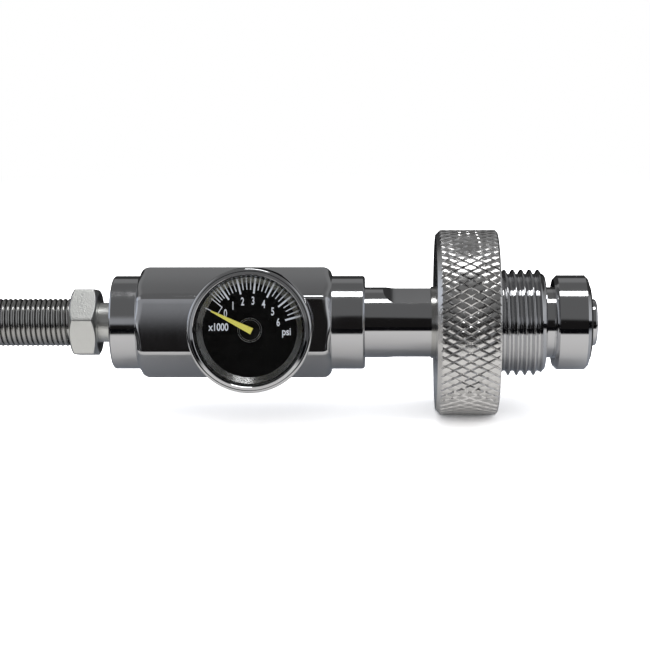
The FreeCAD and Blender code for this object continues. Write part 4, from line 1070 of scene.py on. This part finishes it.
def build_bush():
    """The dial's black bush, sunk in its middle, with two bright lips on it."""
    low, high, hole, _ = reach("dial_bush", GAUGE_PLACE)
    top, sunk = high - BUSH_TOP, high - BUSH_SUNK
    outline = [(low, hole), (low, BUSH_HUB), (DIAL_FACE, BUSH_HUB), (DIAL_FACE, BUSH_RIM), (top, BUSH_RIM)]
    outline += [(top, BUSH_LIP), (sunk, BUSH_LIP - 0.35 * MM), (sunk, hole)]
    dress(turned("hub_bush", outline, GAUGE_PLACE), "bush_black", "adapter", "dial_bush")
    for name, radius, wire in (("hub_rim", 2.44 * MM, 0.055 * MM), ("hub_lip", BUSH_LIP, 0.045 * MM)):
        ring = turned(name, arc((top, radius), wire, 0, 330, 11), GAUGE_PLACE, smooth=60.0)
        dress(ring, "satin_ring", "adapter", "dial_bush")


build_bezel()
build_lens_step()
build_bush()
print("dial's face is", round(DIAL_FACE / MM, 2), "mm from the connector's axis")

# %% [markdown]
# The dial is printed. An image texture would be the usual way, but thin plates stay sharp at any
# distance and need no unwrapping, so the marks are plates a few hundredths of a millimetre thick
# on the dial's face, and the figures are text objects turned into meshes. Angles are counted
# anticlockwise from the right, as in geometry, and the scale runs the other way, from 0 at the
# upper left to 6 at the right. The small box beside the 0 is where the pointer rests.

# %% Dial printing
PRINT_THICK = 0.03 * MM
SCALE = {0: 140.5, 1: 124.5, 2: 104.0, 3: 83.5, 4: 62.0, 5: 39.0, 6: 15.5}
POINTER_REST = 153.5
MARK_OUT = 10.75 * MM
MAJOR_IN, MAJOR_WIDE = 7.45 * MM, 0.38 * MM
MINOR_IN, MINOR_WIDE = 8.2 * MM, 0.21 * MM
BOX_IN, BOX_OUT, BOX_WIDE = 7.2 * MM, 10.1 * MM, 0.2 * MM
FIGURES_AT, FIGURES_TALL, FIGURES_NARROW = 6.0 * MM, 1.6 * MM, 0.62
ZERO_SHIFT = 5.0
WORDS_TALL = 1.5 * MM
CAPITAL_SHARE = 0.7
FAT_SHARE = 0.02


def plates(name, shapes, low, high):
    """Flat plates across the gauge's axis; each shape is a list of (x, y) points, anticlockwise."""
    corners, faces = [], []
    for shape in shapes:
        first, count = len(corners), len(shape)
        for height in (low, high):
            corners += [(x, y, height) for x, y in shape]
        faces.append(tuple(range(first + count - 1, first - 1, -1)))
        faces.append(tuple(range(first + count, first + 2 * count)))
        for k in range(count):
            after = (k + 1) % count
            faces.append((first + k, first + after, first + count + after, first + count + k))
    return new_piece(name, corners, faces, GAUGE_PLACE)


def radial_mark(angle, inner, outer, wide):
    """A line from the inner to the outer radius."""
    out = Vector((math.cos(math.radians(angle)), math.sin(math.radians(angle))))
    side = Vector((-out.y, out.x)) * wide / 2
    near, far = out * inner, out * outer
    return [tuple(point) for point in (near - side, far - side, far + side, near + side)]


def arc_mark(radius, first, last, wide, steps=8):
    """A curved line between two angles."""
    outer = arc((0, 0), radius + wide / 2, first, last, steps)
    return outer + arc((0, 0), radius - wide / 2, last, first, steps)


def scale_marks():
    """Wide marks at the figures, three fine ones between each pair, and the box beside the 0."""
    values = sorted(SCALE)
    shapes = [radial_mark(SCALE[value], MAJOR_IN, MARK_OUT, MAJOR_WIDE) for value in values[1:]]
    for low, high in zip(values, values[1:]):
        for k in (1, 2, 3):
            angle = SCALE[low] + (SCALE[high] - SCALE[low]) * k / 4
            shapes.append(radial_mark(angle, MINOR_IN, MARK_OUT, MINOR_WIDE))
    shapes += [radial_mark(angle, BOX_IN, BOX_OUT, BOX_WIDE) for angle in (SCALE[0], POINTER_REST)]
    shapes.append(arc_mark(BOX_IN + 0.05 * MM, SCALE[0], POINTER_REST, 0.18 * MM))
    return shapes


dial_scale = plates("dial_scale", scale_marks(), DIAL_FACE - PRINT_THICK / 2, DIAL_FACE + PRINT_THICK)
dress(dial_scale, "print_white", "adapter")


def lettering(words, x, y, tall, narrow):
    """Words on the dial with their middle at x, y; narrow is how much they are squeezed in width."""
    text = bpy.data.curves.new(words, "FONT")
    text.body = words
    text.size = tall / CAPITAL_SHARE
    text.align_x = "CENTER"
    text.align_y = "CENTER"
    text.extrude = PRINT_THICK / 2
    text.offset = FAT_SHARE * text.size
    holder = bpy.data.objects.new("lettering_" + words, text)
    scene.collection.objects.link(holder)
    mesh = final_mesh(holder)
    bpy.data.objects.remove(holder)
    piece = bpy.data.objects.new("print_" + words, mesh)
    scene.collection.objects.link(piece)
    mesh.transform(Matrix.Diagonal((narrow, 1, 1, 1)))
    low = Vector([min(v.co[k] for v in mesh.vertices) for k in range(3)])
    high = Vector([max(v.co[k] for v in mesh.vertices) for k in range(3)])
    mesh.transform(Matrix.Translation(Vector((x, y, DIAL_FACE + PRINT_THICK / 2)) - (low + high) / 2))
    mesh.transform(GAUGE_PLACE)
    return dress(piece, "print_white", "adapter")


for value, angle in SCALE.items():
    turn = math.radians(angle if value else angle + ZERO_SHIFT)
    x, y = FIGURES_AT * math.cos(turn), FIGURES_AT * math.sin(turn)
    lettering(str(value), x, y, FIGURES_TALL, FIGURES_NARROW)
lettering("x1000", -6.4 * MM, 0.6 * MM, WORDS_TALL, 0.75)
lettering("psi", 7.45 * MM, -0.6 * MM, WORDS_TALL, 0.8)
print("dial carries", len(scale_marks()), "marks and", len(SCALE) + 2, "words")

# %% [markdown]
# The pointer is a thin tapered blade, cut square behind its pivot and stamped from sheet. A plane
# with a Solidify modifier could make it; the plate helper that made the dial's marks does it in
# one step. It rides with the pointer's body, so it turns with the hinge.

# %% Pointer
BLADE_TAIL = (-0.5 * MM, 0.69 * MM)
BLADE_TIP = (8.75 * MM, 0.15 * MM)


def build_pointer():
    """The yellow blade, just thick enough to cover the spindle's end; tail and tip are half widths."""
    low = reach("gauge_pointer", GAUGE_PLACE)[0]
    high = reach("pointer_spindle", GAUGE_PLACE)[1] + 0.02 * MM
    turn = math.radians(POINTER_REST)
    out = Vector((math.cos(turn), math.sin(turn)))
    side = Vector((-out.y, out.x))
    (tail, tail_half), (tip, tip_half) = BLADE_TAIL, BLADE_TIP
    right_side = [out * tail - side * tail_half, out * tip - side * tip_half]
    left_side = [out * tip + side * tip_half, out * tail + side * tail_half]
    shape = [tuple(point) for point in right_side + left_side]
    blade = soften(plates("pointer_blade", [shape], low, high), 0.04 * MM)
    return dress(blade, "pointer_yellow", "pointer", "gauge_pointer")


print("pointer blade is", round(build_pointer().dimensions.length / MM, 1), "mm across its box")

# %% [markdown]
# The hose is a free piece of thin high-pressure hose. It leaves its spring guard straight, sinks
# to the table, and the spare length is wound in a flat coil behind, out of the camera's sight,
# before it comes back to its second end. A simulated rope could lie there as naturally, but a
# curve gives the same lay each time: it is a NURBS curve steered by listed points, and the
# coil's turns are worked out by a loop.

# %% Hose
HOSE_ACROSS = 5.0 * MM
COIL_CENTRE = Vector((-187.0, -18.0)) * MM
COIL_FIRST = 21.5 * MM
COIL_PITCH = 5.2 * MM
COIL_TURNS = 2.5
COIL_POINTS = 16
HOSE_REST = -17.5 * MM
NEAR_RUN = [
    (-126.68, 0.0, 0.0),
    (-138.5, 0.0, 0.0),
    (-150.5, 0.6, -4.4),
    (-161.2, 1.7, -9.5),
    (-171.8, 2.9, -12.3),
    (-181.0, 3.4, -15.3),
]
FAR_RUN = [
    (-185.0, -52.5, -17.5),
    (-176.3, -52.5, -17.1),
    (-166.0, -52.5, -13.0),
    (-155.0, -52.5, -13.0),
]


def hose_points():
    """The points from the near guard, round the coil and back to the far guard."""
    points = [Vector(point) * MM for point in NEAR_RUN]
    for k in range(1, int(COIL_TURNS * COIL_POINTS)):
        turn = 2 * math.pi * k / COIL_POINTS
        radius = COIL_FIRST + COIL_PITCH * k / COIL_POINTS
        x = COIL_CENTRE.x - radius * math.sin(turn)
        y = COIL_CENTRE.y + radius * math.cos(turn)
        points.append(Vector((x, y, HOSE_REST)))
    return points + [Vector(point) * MM for point in FAR_RUN]


def curve_through(name, points):
    """An open NURBS curve with these control points, of order 3 and reaching both ends."""
    curve = bpy.data.curves.new(name, "CURVE")
    curve.dimensions = "3D"
    spline = curve.splines.new("NURBS")
    spline.points.add(len(points) - 1)
    for point, target in zip(points, spline.points):
        target.co = (*point, 1)
    spline.order_u = 3
    spline.use_endpoint_u = True
    spline.resolution_u = 8
    piece = bpy.data.objects.new(name, curve)
    scene.collection.objects.link(piece)
    return piece


def length_of(piece):
    """The length of a curve, measured along a copy without thickness."""
    thin = bpy.data.objects.new("line", piece.data.copy())
    thin.data.bevel_depth = 0
    line = bpy.data.meshes.new_from_object(thin)
    bpy.data.objects.remove(thin)
    places = [vertex.co for vertex in line.vertices]
    return sum((places[a] - places[b]).length for a, b in (edge.vertices for edge in line.edges))


hose = curve_through("hose", hose_points())
hose.data.bevel_depth = HOSE_ACROSS / 2
hose.data.bevel_resolution = 6
hose.data.use_fill_caps = True
dress(hose, "hose_black", "adapter", "hose_lead", "hose_coil", "hose_tail")
hose_length = round(length_of(hose), 3)
print("hose is", hose_length, "m long between its guards")
